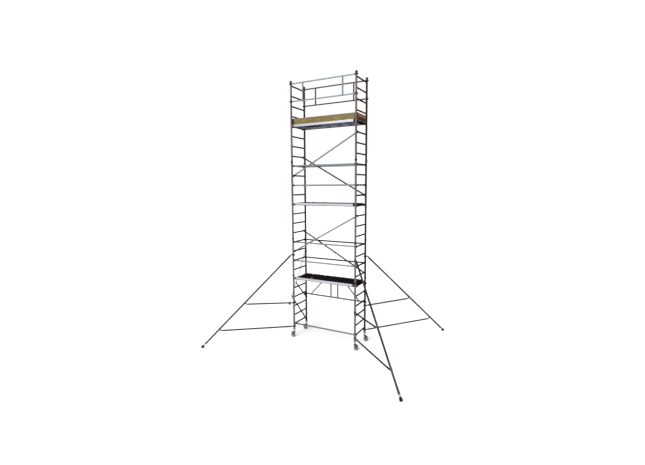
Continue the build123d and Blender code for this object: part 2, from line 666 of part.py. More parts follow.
def ears(pin, way):
    """Two ears from a pin along a strut, with the end plate that closes its tube."""
    half = LUG_WIDTH / 2 + SLIDE_FIT
    shape = block((-EAR_HALF, half, -EAR_HALF), (EAR_LONG - 4, half + EAR_WIDTH, EAR_HALF))
    shape += mirror(shape, about=Plane.XZ)
    shape += rod((EAR_LONG - 6, 0, 0), (EAR_LONG, 0, 0), STRUT_OD / 2)
    shape -= rod((0, -STRUT_OD, 0), (0, STRUT_OD, 0), BOLT_R + PIN_FIT)
    return Plane(origin=pin, x_dir=way, z_dir=Vector(0, 1, 0).cross(way) * -1).location * shape


def pin_bolt(at):
    """The cross bolt of a clevis, with a round head at each end."""
    half = LUG_WIDTH / 2 + SLIDE_FIT + EAR_WIDTH
    bolt = rod((0, -half - 1, 0), (0, half + 1, 0), BOLT_R)
    bolt += rod((0, -half - 7, 0), (0, -half, 0), BOLT_R + 4)
    bolt += rod((0, half, 0), (0, half + 7, 0), BOLT_R + 4)
    return Pos(at.X, at.Y, at.Z) * bolt


def strut(inner_pin, outer_pin, diameter):
    """A tube between two pins, with ears and a bolt at both ends."""
    along = (outer_pin - inner_pin).normalized()
    pipe = tube(inner_pin + along * EAR_LONG, outer_pin - along * EAR_LONG, diameter, STRUT_WALL)
    ends = [ears(inner_pin, along), ears(outer_pin, -along)]
    return [pipe] + ends + [pin_bolt(inner_pin), pin_bolt(outer_pin)]


def stab_clamp(z):
    """A clamp that turns round the standard, with the lug for the pin."""
    inner = STANDARD_R + RUN_FIT
    outer = inner + CLAMP_WALL
    half = STAB_CLAMP_HEIGHT / 2
    ring = rod((0, 0, z - half), (0, 0, z + half), outer)
    lug_low = inner, -LUG_WIDTH / 2, z - STAB_LUG_HALF
    lug = block(lug_low, (STAB_CLAMP_PIN + PIN_LUG, LUG_WIDTH / 2, z + STAB_LUG_HALF))
    high = STAB_BOLT_OUT
    bolt = block((-outer - STAB_BOLT_OUT, -STAB_BOLT_HALF, z - high), (-inner, STAB_BOLT_HALF, z + high))
    shape = ring + lug + bolt - rod((0, 0, z - 2 * half), (0, 0, z + 2 * half), inner)
    return shape - rod((STAB_CLAMP_PIN, -LUG_WIDTH, z), (STAB_CLAMP_PIN, LUG_WIDTH, z), BOLT_R + PIN_FIT)


def leg_coupler(station, pin):
    """The coupler round the leg and the lug below it that holds a strut's pin."""
    bore = OUTER_OD / 2 + RUN_FIT
    middle = LEG_TOP + LEG_LINE * station
    reach = LEG_LINE * COUPLER_HALF
    shape = rod(middle - reach, middle + reach, bore + COUPLER_WALL)
    local = Plane(origin=middle, x_dir=LEG_ACROSS, z_dir=LEG_LINE).location
    low = bore, -LUG_WIDTH / 2, -COUPLER_LUG_HALF
    shape += local * block(low, (COUPLER_DROP + PIN_LUG, LUG_WIDTH / 2, COUPLER_LUG_HALF))
    shape -= rod(middle - 2 * reach, middle + 2 * reach, bore)
    return shape - Pos(pin.X, 0, pin.Z) * rod((0, -LUG_WIDTH, 0), (0, LUG_WIDTH, 0), BOLT_R + PIN_FIT)


def stabiliser():
    """The outer leg, two struts, three clamps on the standard, two couplers and the lock collar."""
    outer_end = LEG_SPAN - PAD_LONG / 2 - INNER_SHOWN
    tail = LEG_TOP + LEG_LINE * HEAD_LONG
    end = LEG_TOP + LEG_LINE * outer_end
    pieces = [tube(tail, end, OUTER_OD, OUTER_WALL), stab_clamp(LEG_TOP_Z)]
    half = LUG_WIDTH / 2 + SLIDE_FIT
    head = block((-HEAD_HALF, half, -HEAD_HALF), (HEAD_LONG + 2, half + EAR_WIDTH, HEAD_HALF))
    head += mirror(head, about=Plane.XZ)
    head += rod((HEAD_LONG - 4, 0, 0), (HEAD_LONG, 0, 0), OUTER_OD / 2)
    head -= rod((0, -OUTER_OD, 0), (0, OUTER_OD, 0), BOLT_R + PIN_FIT)
    seat = Plane(origin=LEG_TOP, x_dir=LEG_LINE, z_dir=Vector(0, 1, 0).cross(LEG_LINE) * -1).location
    pieces += [pin_bolt(LEG_TOP), seat * head]
    for height, radius in STRUTS.items():
        station = (radius - LEG_TOP.X - COUPLER_DROP * LEG_ACROSS.X) / LEG_LINE.X
        pin = LEG_TOP + LEG_LINE * station + LEG_ACROSS * COUPLER_DROP
        pieces += [stab_clamp(height), leg_coupler(station, pin)]
        pieces += strut(Vector(STAB_CLAMP_PIN, 0, height), pin, STRUT_OD)
    bore = INNER_OD / 2 + RUN_FIT
    over, past = LEG_LINE * LOCK_COLLAR_OVER, LEG_LINE * LOCK_COLLAR_PAST
    collar = rod(end - over, end + past, OUTER_OD / 2 + LOCK_COLLAR_WALL)
    collar -= rod(end - over - LEG_LINE, end, OUTER_OD / 2 + RUN_FIT)
    collar -= rod(end - LEG_LINE, end + past + LEG_LINE, bore)
    pieces.append(collar)
    return pieces


def stabiliser_foot():
    """The inner leg that slides in the outer one, its guide ring, and the rubber foot."""
    shown = LEG_TOP + LEG_LINE * (LEG_SPAN - PAD_LONG / 2)
    hidden = shown - LEG_LINE * (INNER_SHOWN + INNER_HIDDEN)
    pipe = tube(hidden, shown + LEG_LINE * PAD_SOCKET, INNER_OD, INNER_WALL)
    ring_r = OUTER_OD / 2 - OUTER_WALL - SLIDE_FIT
    ring = rod(hidden - LEG_LINE * 10, hidden, ring_r)
    ring += rod(hidden - LEG_LINE * 4, hidden + LEG_LINE * 20, INNER_OD / 2 - INNER_WALL - RUN_FIT)
    middle = Vector(FOOT_R, 0, FOOT_Z)
    pad = rod(shown, middle + LEG_LINE * PAD_LONG / 2, PAD_R)
    pad = fillet(pad.edges().filter_by(GeomType.CIRCLE), PAD_ROUND)
    pad -= rod(shown - LEG_LINE, shown + LEG_LINE * (PAD_SOCKET + 0.1), INNER_OD / 2 + RUN_FIT)
    pad -= block((FOOT_R - PAD_LONG, -PAD_LONG, -PAD_LONG), (FOOT_R + PAD_LONG, PAD_LONG, 0))
    return [pipe, ring, pad]


def at_corner(corner, pieces):
    """Turn a stabiliser to point away from the tower's corner at 45 degrees."""
    side, y = CORNERS[corner]
    heading = math.degrees(math.atan2(y, side))
    place = Pos(side * HALF_L, y * HALF_W, 0) * Rot(0, 0, heading)
    return [place * piece for piece in pieces]


# ---- build every node ----

os.makedirs("parts", exist_ok=True)

for name, (first, last) in FRAMES.items():
    for hand, side in (("left", -1), ("right", 1)):
        save(f"{name}_{hand}", frame(side, first, last))

ends = [rung_z(last) + TOP_STUB for first, last in FRAMES.values()]
save("frame_lock_collars", [lock_collar(s, y * HALF_W, top) for top in ends for s, y in CORNERS.values()])

rail_y = HALF_W - RAIL_INSET
diagonal_y = HALF_W - DIAGONAL_INSET
base_braces = [brace((1, 1), -rail_y)]
guardrails = [brace((n, n), y) for n in (8, 10, 16, 18) for y in (-rail_y, rail_y)]
diagonals = [brace((9, 13), -diagonal_y), brace((17, 21), -diagonal_y)]
diagonals += [brace((11, 7), diagonal_y), brace((19, 15), diagonal_y)]
everything = base_braces + guardrails + diagonals
save("base_brace", [pipe for pipe, hooks, latches in base_braces])
save("guardrails", [pipe for pipe, hooks, latches in guardrails])
save("diagonal_braces", [pipe for pipe, hooks, latches in diagonals])
save("brace_hooks", [hook for pipe, hooks, latches in everything for hook in hooks])
save("brace_latches", [one for pipe, hooks, latches in everything for one in latches])

hooks_and_locks = []
for name in PLATFORM_RUNGS:
    save(f"platform_frame_{name}", platform_frame(name))
    save(f"platform_deck_{name}", platform_deck(name))
    save(f"trapdoor_{name}", trapdoor(name))
    hooks_and_locks += platform_hooks(name)
save("platform_hooks", hooks_and_locks)

save("toe_boards_side", toe_boards_side())
save("toe_boards_end", toe_boards_end())
save("toe_board_clips", toe_board_clips())
save("guard_frame_front", guard_frame(-HALF_W))
save("guard_frame_back", guard_frame(HALF_W))
save("guard_frame_clamps", guard_frame_clamps())
save("fold_gate_left", gate_half(-1))
save("fold_gate_right", gate_half(1))

standing = {
    "adjustable_leg": adjustable_leg(),
    "adjusting_nut": adjusting_nut(),
    "castor_fork": castor_fork(),
    "castor_wheel": castor_wheel(),
    "brake_pedal": brake_pedal(),
}
propping = {"stabiliser": stabiliser(), "stabiliser_foot": stabiliser_foot()}
for corner in CORNERS:
    for name, pieces in standing.items():
        save(f"{name}_{corner}", under_standard(corner, pieces))
    for name, pieces in propping.items():
        save(f"{name}_{corner}", at_corner(corner, pieces))
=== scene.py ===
import bmesh
import bpy
import math
from mathutils import Matrix, Vector


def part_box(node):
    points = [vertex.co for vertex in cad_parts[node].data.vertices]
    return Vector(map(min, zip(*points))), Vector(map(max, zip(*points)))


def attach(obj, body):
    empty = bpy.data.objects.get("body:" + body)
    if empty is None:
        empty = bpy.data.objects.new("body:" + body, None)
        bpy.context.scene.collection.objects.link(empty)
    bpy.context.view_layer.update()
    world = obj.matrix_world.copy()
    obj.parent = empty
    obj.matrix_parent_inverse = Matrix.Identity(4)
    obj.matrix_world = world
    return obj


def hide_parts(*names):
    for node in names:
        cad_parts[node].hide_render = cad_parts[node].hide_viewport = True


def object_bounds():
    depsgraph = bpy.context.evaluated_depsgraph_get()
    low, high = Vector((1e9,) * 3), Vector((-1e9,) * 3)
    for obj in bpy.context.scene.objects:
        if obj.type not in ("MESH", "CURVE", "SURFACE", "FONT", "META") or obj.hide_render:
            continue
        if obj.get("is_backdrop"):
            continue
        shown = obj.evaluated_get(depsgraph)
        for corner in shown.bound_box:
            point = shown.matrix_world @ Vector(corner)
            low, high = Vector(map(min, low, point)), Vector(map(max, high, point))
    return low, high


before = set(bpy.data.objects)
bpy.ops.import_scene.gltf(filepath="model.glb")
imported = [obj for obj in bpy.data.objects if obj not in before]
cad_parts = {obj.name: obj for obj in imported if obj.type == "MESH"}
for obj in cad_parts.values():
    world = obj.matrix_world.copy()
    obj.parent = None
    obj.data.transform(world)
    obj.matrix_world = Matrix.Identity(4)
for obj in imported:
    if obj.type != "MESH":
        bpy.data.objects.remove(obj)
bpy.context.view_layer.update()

# ---- Ladder frames ----
# Four lifts of ladder frames in extruded aluminium tube: plain standards and fluted rungs. Every rung is
# welded to both standards all round, and spigots pressed into the upper frames join one lift to the next.

HALF_LENGTH = 0.9
HALF_WIDTH = 0.325
STANDARD_R = 0.0254
RUNG_R = 0.019
RUNG_END = 0.3
FIRST_RUNG = 0.38
RUNG_PITCH = 0.25
RUNGS = {"base_frame": (1, 6), "frame_1m": (7, 10), "mid_frame": (11, 18), "top_frame": (19, 26)}
SIDES = {"left": -1, "right": 1}
CORNERS = {"front_left": (-1, -1), "front_right": (1, -1), "back_left": (-1, 1), "back_right": (1, 1)}
SHARP_EDGE = math.radians(38)


class Wire:
    """A socket in a finish's nodes. Sums on it add Math nodes, and node() adds any other node."""

    def __init__(self, tree, socket=None):
        self.tree = tree
        self.socket = socket

    def node(self, kind, settings, sockets, out=0):
        """Add a node: its settings first, then the values or wires of its sockets."""
        made = self.tree.nodes.new("ShaderNode" + kind)
        for name, value in settings.items():
            if name == "stops":
                for position, colour in value[1:-1]:
                    made.color_ramp.elements.new(position)
                for stop, (position, colour) in zip(made.color_ramp.elements, value):
                    stop.position = position
                    stop.color = (*colour, 1)
            else:
                setattr(made, name, value)
        for name, value in sockets.items():
            if isinstance(value, Wire):
                self.tree.links.new(value.socket, made.inputs[name])
            else:
                made.inputs[name].default_value = value
        return Wire(self.tree, made.outputs[out])

    def math(self, operation, other=0.0):
        return self.node("Math", {"operation": operation}, {0: self, 1: other})

    def __add__(self, other):
        return self.math("ADD", other)

    def __sub__(self, other):
        return self.math("SUBTRACT", other)

    def __mul__(self, other):
        return self.math("MULTIPLY", other)

    def __rsub__(self, other):
        return self.node("Math", {"operation": "SUBTRACT"}, {0: other, 1: self})

    def __lt__(self, other):
        return self.math("LESS_THAN", other)

    def __gt__(self, other):
        return self.math("GREATER_THAN", other)

    __radd__ = __add__
    __rmul__ = __mul__

    def part(self, axis):
        """One coordinate of a place: 0, 1 or 2 for x, y or z."""
        return self.node("SeparateXYZ", {}, {0: self}, axis)

    def span(self, low, high):
        """0 below low, 1 above high, and even in between."""
        return self.node("MapRange", {"clamp": True}, {0: self, 1: low, 2: high})

    def mix(self, first, second, blend="MIX"):
        """A colour between two, with this wire as the share of the second."""
        first, second = (c if isinstance(c, Wire) else (*c, 1) for c in (first, second))
        settings = {"data_type": "RGBA", "blend_type": blend}
        return self.node("Mix", settings, {0: self, 6: first, 7: second}, 2)

    def scaled(self, x, y, z):
        return self.node("Mapping", {}, {"Vector": self, "Scale": (x, y, z)})

    def noise(self, scale, detail=4.0):
        return self.node("TexNoise", {}, {"Vector": self, "Scale": scale, "Detail": detail})

    def cells(self, scale):
        return self.node("TexVoronoi", {}, {"Vector": self, "Scale": scale})


def new_finish(name):
    """A material, and the wire of the place on the piece that its patterns start from."""
    material = bpy.data.materials.new(name)
    material.use_nodes = True
    return material, Wire(material.node_tree).node("TexCoord", {}, {}, "Object")


def set_shader(material, place, height=None, depth=0.001, **sockets):
    """Join a finish's colours, values and relief to its shader."""
    tree = material.node_tree
    shader = tree.nodes["Principled BSDF"]
    if height is not None:
        sockets["Normal"] = place.node("Bump", {}, {"Strength": 0.6, "Distance": depth, "Height": height})
    for name, value in sockets.items():
        socket = shader.inputs[name.replace("_", " ")]
        if isinstance(value, Wire):
            tree.links.new(value.socket, socket)
        else:
            socket.default_value = value


def dress(node, finish):
    """Give a CAD node its finish."""
    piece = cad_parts[node]
    if not piece.material_slots:
        piece.data.materials.append(finish)
    for one in piece.material_slots:
        one.material = finish


def shift(x, y, z):
    """The placement that moves a shape from the origin to a point."""
    return Matrix.Translation((x, y, z))


def turn_about(axis, degrees):
    """The placement that turns a shape about an axis through the origin."""
    return Matrix.Rotation(math.radians(degrees), 4, axis)


def facing(side):
    """The placement that points a shape's +X to the right for a side of 1, and to the left for -1."""
    return turn_about("Z", 0 if side > 0 else 180)


def stand(seat, way):
    """The placement that stands a shape on a seat, with its Z axis pointing a way."""
    return Matrix.Translation(seat) @ Vector(way).to_track_quat("Z", "Y").to_matrix().to_4x4()


def add_copy(piece, shape, place=Matrix.Identity(4)):
    """Put a copy of one shape into a piece."""
    mesh = bpy.data.meshes.new("copy")
    shape.to_mesh(mesh)
    mesh.transform(place)
    piece.from_mesh(mesh)
    bpy.data.meshes.remove(mesh)


def turned(outline, steps=28, ring=True):
    """A shape turned about the Z axis from an outline of (radius, height) points, closed if it is a ring."""
    shape = bmesh.new()
    points = [shape.verts.new((r, 0, z)) for r, z in outline]
    pairs = list(zip(points, points[1:] + points[:1] if ring else points[1:]))
    edges = [shape.edges.new(pair) for pair in pairs]
    bmesh.ops.spin(
        shape, geom=points + edges, axis=(0, 0, 1), cent=(0, 0, 0),
        angle=math.tau, steps=steps, use_merge=True,
    )
    bmesh.ops.remove_doubles(shape, verts=shape.verts, dist=1e-6)
    return shape


def finish_piece(name, piece, finish, body, stands_for=()):
    """Turn a bmesh into a piece: faces outward, smooth but for its sharp edges, riding on its body."""
    bmesh.ops.recalc_face_normals(piece, faces=piece.faces)
    for face in piece.faces:
        face.smooth = True
    for edge in piece.edges:
        edge.smooth = edge.calc_face_angle(0) < SHARP_EDGE
    mesh = bpy.data.meshes.new(name)
    piece.to_mesh(mesh)
    piece.free()
    mesh.materials.append(finish)
    made = bpy.data.objects.new(name, mesh)
    bpy.context.scene.collection.objects.link(made)
    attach(made, body)
    if stands_for:
        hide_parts(*stands_for)


def weld_bead(pipe_r, post_r, bead=0.003):
    """A bead of weld round a pipe along +Y that meets an upright post standing on the Z axis."""
    shape = bmesh.new()
    bmesh.ops.create_circle(shape, segments=6, radius=bead, matrix=shift(pipe_r, 0, 0))
    bmesh.ops.spin(
        shape, geom=shape.verts[:] + shape.edges[:], axis=(0, 1, 0), cent=(0, 0, 0),
        angle=math.tau, steps=24, use_merge=True,
    )
    widest = 0.96 * post_r
    for vert in shape.verts:
        vert.co.y += math.sqrt(post_r**2 - min(abs(vert.co.x), widest) ** 2)
    return shape


def alloy_finish(name, colour_of, roughness=0.34, height=None, upright=True):
    """Drawn aluminium: lines along the tube, oxide clouds and small scratches over colour_of's colour."""
    material, place = new_finish(name)
    clouds = place.noise(5.0, 6.0)
    lines, nicks = ((300, 300, 6), (40, 40, 400)) if upright else ((5, 300, 60), (400, 40, 40))
    streaks = place.scaled(*lines).noise(1.0, 2.0)
    scratches = place.scaled(*nicks).noise(1.0, 3.0).span(0.66, 0.7)
    wear = clouds.span(0.35, 0.7) * 0.35 + streaks * 0.3
    dulled = wear.mix(colour_of(place), (0.55, 0.52, 0.5), "MULTIPLY")
    relief = streaks * 0.15 - scratches * 0.2
    if height is not None:
        relief = relief + height(place)
    set_shader(
        material, place, relief, 0.0006, Base_Color=dulled, Metallic=0.92, Specular_IOR_Level=0.1,
        Specular_Tint=(0.18, 0.15, 0.14, 1), Roughness=clouds * 0.22 + streaks * 0.1 + roughness - 0.12,
    )
    return material


def frame_shaded_colour(place):
    """Bright front standards; the rungs and the standards at the back are darkened with painted shade."""
    y = place.part(1)
    rung = y.math("ABSOLUTE") < RUNG_END
    posts = (y > RUNG_END).mix((0.2, 0.165, 0.165), (0.06, 0.036, 0.032))
    return rung.mix(posts, (0.03, 0.017, 0.0145))


def rung_flutes(place):
    """The fine flutes along a rung that give a boot its grip."""
    x, y, z = (place.part(axis) for axis in (0, 1, 2))
    rise = (z - (FIRST_RUNG - RUNG_PITCH / 2)).math("MODULO", RUNG_PITCH) - RUNG_PITCH / 2
    angle = rise.math("ARCTAN2", x.math("ABSOLUTE") - HALF_LENGTH)
    return (angle * 26).math("SINE") * (y.math("ABSOLUTE") < RUNG_END - 0.002) * 0.8


frame_alloy = alloy_finish("frame_alloy", frame_shaded_colour, height=rung_flutes)
frame_weld, place = new_finish("frame_weld")
ripples = place.cells(420.0)
set_shader(
    frame_weld, place, ripples, 0.0008, Base_Color=ripples.mix((0.2, 0.18, 0.17), (0.36, 0.34, 0.33)),
    Metallic=0.85, Roughness=ripples * 0.25 + 0.38,
)
bead = weld_bead(RUNG_R, STANDARD_R)
for name, (first, last) in RUNGS.items():
    for hand, side in SIDES.items():
        dress(f"{name}_{hand}", frame_alloy)
        welds = bmesh.new()
        for number in range(first, last + 1):
            height = FIRST_RUNG + RUNG_PITCH * (number - 1)
            for way in (-1, 1):
                add_copy(welds, bead, shift(side * HALF_LENGTH, way * HALF_WIDTH, height) @ facing(-way))
        finish_piece(f"rung_welds_{name}_{hand}", welds, frame_weld, "tower")

# ---- Lock collars ----
# A moulded nylon collar is pushed over the top of every standard. Its snap lever turns a sprung pin that
# keeps the next frame's spigot from lifting out.

COLLAR_LOW = 0.05
COLLAR_R = 0.0295
EASED_EDGE = math.radians(30)
ROUND_STANDARD = STANDARD_R + 0.0002


def ease(shape, amount, segments=2):
    """Round off the sharp edges of a shape."""
    edges = [edge for edge in shape.edges if edge.calc_face_angle(0) > EASED_EDGE]
    bmesh.ops.bevel(
        shape, geom=edges, offset=amount, segments=segments, affect="EDGES", profile=0.5, material=-1
    )
    return shape


def block(low, high, round_off=0.001):
    """A block from its lowest to its highest corner, with its edges eased."""
    shape = bmesh.new()
    low, high = Vector(low), Vector(high)
    size = high - low
    place = Matrix.Translation((low + high) / 2) @ Matrix.Diagonal((*size, 1))
    bmesh.ops.create_cube(shape, size=1, matrix=place)
    return ease(shape, round_off)


def dome(radius, rise):
    """A round rivet or screw head that stands up from z 0."""
    crown = [(0, rise), (0.55 * radius, 0.86 * rise), (0.9 * radius, 0.45 * rise)]
    return turned(crown + [(radius, 0), (0, 0)], 12, ring=False)


moulded_black, place = new_finish("moulded_black")
grain = place.noise(900.0, 2.0)
dust = place.noise(14.0, 5.0).span(0.45, 0.75)
set_shader(
    moulded_black, place, grain, 0.0003, Base_Color=dust.mix((0.015, 0.01, 0.009), (0.05, 0.036, 0.032)),
    Roughness=dust * 0.25 + 0.42, Specular_IOR_Level=0.3,
)
collar = bmesh.new()
add_copy(collar, turned([
    (ROUND_STANDARD, 0), (0.0282, 0), (COLLAR_R, 0.0015), (COLLAR_R, 0.006), (0.0285, 0.007), (0.0285, 0.042),
    (COLLAR_R, 0.043), (COLLAR_R, 0.0475), (0.0282, 0.049), (ROUND_STANDARD, 0.049),
], 32))
add_copy(collar, block((0.0265, -0.007, 0.008), (0.0325, 0.007, 0.043), 0.0015))
add_copy(collar, block((0.031, -0.0055, 0.026), (0.0354, 0.0055, 0.042), 0.0012))
for step in range(4):
    low = 0.0275 + 0.0035 * step
    add_copy(collar, block((0.035, -0.005, low), (0.0359, 0.005, low + 0.0015), 0.0003))
add_copy(collar, dome(0.0045, 0.0022), stand((0.0325, 0, 0.015), (1, 0, 0)))
collars = bmesh.new()
base_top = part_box("base_frame_left")[1].z
for first, last in RUNGS.values():
    top = base_top + RUNG_PITCH * (last - RUNGS["base_frame"][1])
    for side, way in CORNERS.values():
        place = shift(side * HALF_LENGTH, way * HALF_WIDTH, top - COLLAR_LOW)
        add_copy(collars, collar, place @ facing(side))
finish_piece("lock_collars", collars, moulded_black, "tower", ["frame_lock_collars"])

# ---- Braces and guardrails ----
# One tube 38 mm across with a cast claw riveted into each end. The claw drops over a rung, and a sprung
# latch closes below it. The front ones are bright, and those at the back are darkened with painted shade.

BRACE_R = 0.019
CLAW_INNER = 0.0193
CLAW_OUTER = 0.0293
CLAW_LEG = 0.024
GUARDRAIL_Y = 0.28
DIAGONAL_Y = 0.238
SHADED_BACK_ALLOY = (0.045, 0.034, 0.031)
SUNK = 0.0002


def arc(centre_x, centre_z, radius, start, end, steps=10):
    """Points along an arc, with its angles in degrees."""
    angles = [math.radians(start + (end - start) * step / steps) for step in range(steps + 1)]
    return [(centre_x + radius * math.cos(a), centre_z + radius * math.sin(a)) for a in angles]


def cut_plate(outline, low, high, round_off=0.001):
    """A plate cut to an outline of (x, z) points, from low to high along Y, with its edges eased."""
    shape = bmesh.new()
    face = shape.faces.new([shape.verts.new((x, low, z)) for x, z in outline])
    grown = bmesh.ops.extrude_face_region(shape, geom=[face])["geom"]
    moved = [item for item in grown if isinstance(item, bmesh.types.BMVert)]
    bmesh.ops.translate(shape, verts=moved, vec=(0, high - low, 0))
    bmesh.ops.recalc_face_normals(shape, faces=shape.faces)
    return ease(shape, round_off)


def brace_shaded_colour(place):
    """Bright at the front and darker low down. At the back, painted shade darkens all but the upper
    guardrails.
    """
    y, z = place.part(1), place.part(2)
    front = z.span(1.2, 0.5).mix((0.3, 0.35, 0.38), (0.24, 0.225, 0.215))
    back = (z > 3.9).mix(SHADED_BACK_ALLOY, (0.27, 0.3, 0.32))
    from_rung = (z - (FIRST_RUNG + RUNG_PITCH / 2)).math("MODULO", RUNG_PITCH) - RUNG_PITCH / 2
    guardrail = (from_rung.math("ABSOLUTE") < BRACE_R + 0.001) * (y > GUARDRAIL_Y - 0.03)
    return (y > 0).mix(front, guardrail.mix(SHADED_BACK_ALLOY, back))


def turned_to(along, across, up):
    """The placement that turns a shape's X, Y and Z axes to three directions."""
    return Matrix((along, across, up)).transposed().to_4x4()


brace_alloy = alloy_finish("brace_alloy", brace_shaded_colour, roughness=0.3, upright=False)
for node in ("base_brace", "guardrails", "diagonal_braces"):
    dress(node, brace_alloy)

cast_black, place = new_finish("cast_black")
pits = place.noise(650.0, 3.0)
rub = place.noise(26.0, 6.0).span(0.6, 0.72)
set_shader(
    cast_black, place, pits, 0.0005, Base_Color=rub.mix((0.018, 0.014, 0.0135), (0.13, 0.12, 0.115)),
    Metallic=rub * 0.7, Roughness=0.55 - rub * 0.2, Specular_IOR_Level=0.3,
)

claw = bmesh.new()
throat = [(CLAW_INNER, -CLAW_LEG)] + arc(0, 0, CLAW_INNER, 0, 180) + [(-CLAW_INNER, -CLAW_LEG)]
rim = [(-CLAW_OUTER, -CLAW_LEG)] + arc(0, 0, CLAW_OUTER, 180, 0, 14) + [(CLAW_OUTER, -CLAW_LEG)]
add_copy(claw, cut_plate(rim + throat, -0.012, 0.012, 0.0014))
rib_outer, rib_inner = CLAW_OUTER + 0.003, CLAW_OUTER - 0.004
rib = [(rib_outer, -0.004)] + arc(0, 0, rib_outer, 8, 120, 8) + arc(0, 0, rib_inner, 120, 8, 8)
add_copy(claw, cut_plate(rib, -0.003, 0.003, 0.0008))
add_copy(claw, turned([
    (0, 0.023), (0.0145, 0.023), (0.0165, 0.032), (0.0188, 0.038), (0.0188, 0.0425), (0.0178, 0.0435),
    (0.0178, 0.0445), (0.019, 0.0455), (0.019, 0.0498), (0.017, 0.0499), (0.017, 0.09), (0, 0.09),
], 24, ring=False), turn_about("Y", 90))

LATCH_LOW = -0.031
latch = bmesh.new()
add_copy(latch, block((-CLAW_OUTER, -0.007, LATCH_LOW), (CLAW_OUTER, 0.007, -0.0242), 0.0012))
add_copy(latch, block((CLAW_OUTER - 0.007, -0.005, LATCH_LOW), (CLAW_OUTER + 0.006, 0.005, -0.0265), 0.001))
for way in (-1, 1):
    add_copy(latch, dome(0.004, 0.002), stand((-CLAW_OUTER + 0.006, way * 0.007, -0.0276), (0, way, 0)))

braces = [((1, 1), -GUARDRAIL_Y), ((9, 13), -DIAGONAL_Y), ((17, 21), -DIAGONAL_Y)]
braces += [((11, 7), DIAGONAL_Y), ((19, 15), DIAGONAL_Y)]
braces += [((number, number), y) for number in (8, 10, 16, 18) for y in (-GUARDRAIL_Y, GUARDRAIL_Y)]
claws, latches, rivets = bmesh.new(), bmesh.new(), bmesh.new()
rivet = dome(0.0042, 0.0018)
RIVETS_FROM_RUNG = (0.062, 0.078)
for (left_rung, right_rung), y in braces:
    left = Vector((-HALF_LENGTH, y, FIRST_RUNG + RUNG_PITCH * (left_rung - 1)))
    right = Vector((HALF_LENGTH, y, FIRST_RUNG + RUNG_PITCH * (right_rung - 1)))
    for at, towards in ((left, right), (right, left)):
        along = (towards - at).normalized()
        up = Vector((0, 1, 0)).cross(along)
        up = up if up.z > 0 else -up
        place = Matrix.Translation(at) @ turned_to(along, up.cross(along), up)
        add_copy(claws, claw, place)
        add_copy(latches, latch, place)
        for from_rung in RIVETS_FROM_RUNG:
            for way in (-1, 1):
                seat = place @ Vector((from_rung, way * (BRACE_R - SUNK), 0))
                add_copy(rivets, rivet, stand(seat, place.to_3x3() @ Vector((0, way, 0))))
finish_piece("brace_claws", claws, cast_black, "tower", ["brace_hooks"])
finish_piece("brace_latch_tongues", latches, cast_black, "tower", ["brace_latches"])
finish_piece("brace_rivets", rivets, brace_alloy, "tower")

# ---- Platforms ----
# Two extruded aluminium side beams with end and cross members carry a deck of coated birch plywood. The
# hatch beside the left end has a hinged lid. Cast hooks ride on the rungs, each with a turning wind lock.

PLATFORM_RUNGS = {"lower": 6, "middle": 14, "upper": 22}
DECK_RISE = 0.045
PLATFORM_END = 0.85
BEAM_OUTSIDE = 0.29
PLY = 0.012
HATCH_LEFT = -0.715
HATCH_RIGHT = -0.115
HINGE_Y = 0.228
HOOK_Y = 0.24
HOOK_INNER = 0.0193
HOOK_OUTER = 0.0313
PLATFORM_PITCH = RUNG_PITCH * 8
EDGE_RIVET_XS = (-0.79, -0.745, -0.08, 0.12, 0.33, 0.53, 0.78)
MIDDLE_RIVET_XS = (-0.79, 0.12, 0.33, 0.78)
BEAM_RIVET_XS = (-0.83, -0.73, -0.1, 0.175, 0.46, 0.83)
MESH_WAVES = 700


def beam_lit_and_shaded_colour(place):
    """Painted highlight on a beam's upper half, painted shade below it, and a dark member at the right end.
    """
    level = (place.part(2) - (FIRST_RUNG + RUNG_PITCH * 5)).math("MODULO", PLATFORM_PITCH)
    level = (level + RUNG_PITCH / 2).math("MODULO", PLATFORM_PITCH) - RUNG_PITCH / 2
    # Painted highlight above the rung's level and painted shade below it.
    bright = level.span(0.0, -0.014).mix((0.6, 0.62, 0.68), (0.12, 0.13, 0.175))
    return (place.part(0) > PLATFORM_END - 0.041).mix(bright, (0.05, 0.032, 0.027))


def beam_lines(place):
    """The long lines that a die leaves along an extruded beam."""
    return place.scaled(1, 500, 500).noise(1.0, 2.0) * 0.5


platform_alloy = alloy_finish("platform_alloy", beam_lit_and_shaded_colour, roughness=0.36, height=beam_lines, upright=False)


def pressed_mesh(place):
    """The wire-mesh pattern that is pressed into the dark film for grip."""
    rows, columns = ((place.part(axis) * MESH_WAVES).math("SINE") for axis in (0, 1))
    return (rows * columns).span(0.1, 0.6)


deck_ply, place = new_finish("deck_ply")
worn = place.noise(4.0, 6.0).span(0.48, 0.72)
grit = place.noise(500.0, 2.0)
film = worn.mix((0.0035, 0.0012, 0.001), (0.011, 0.004, 0.0035))
above = (place.part(2) - (FIRST_RUNG + DECK_RISE - PLY / 2)).math("MODULO", RUNG_PITCH) < PLY
film = above.mix((0.1, 0.11, 0.145), film)
set_shader(
    deck_ply, place, pressed_mesh(place) * 0.7 + grit * 0.3, 0.0007, Base_Color=film,
    Roughness=worn * 0.15 + grit * 0.1 + 0.62, Specular_IOR_Level=0.02,
)

hinge_zinc, place = new_finish("hinge_zinc")
spangle = place.cells(160.0)
set_shader(
    hinge_zinc, place, spangle * 0.3, 0.0003, Base_Color=spangle.mix((0.4, 0.39, 0.37), (0.55, 0.54, 0.5)),
    Metallic=0.9, Roughness=spangle * 0.2 + 0.36,
)

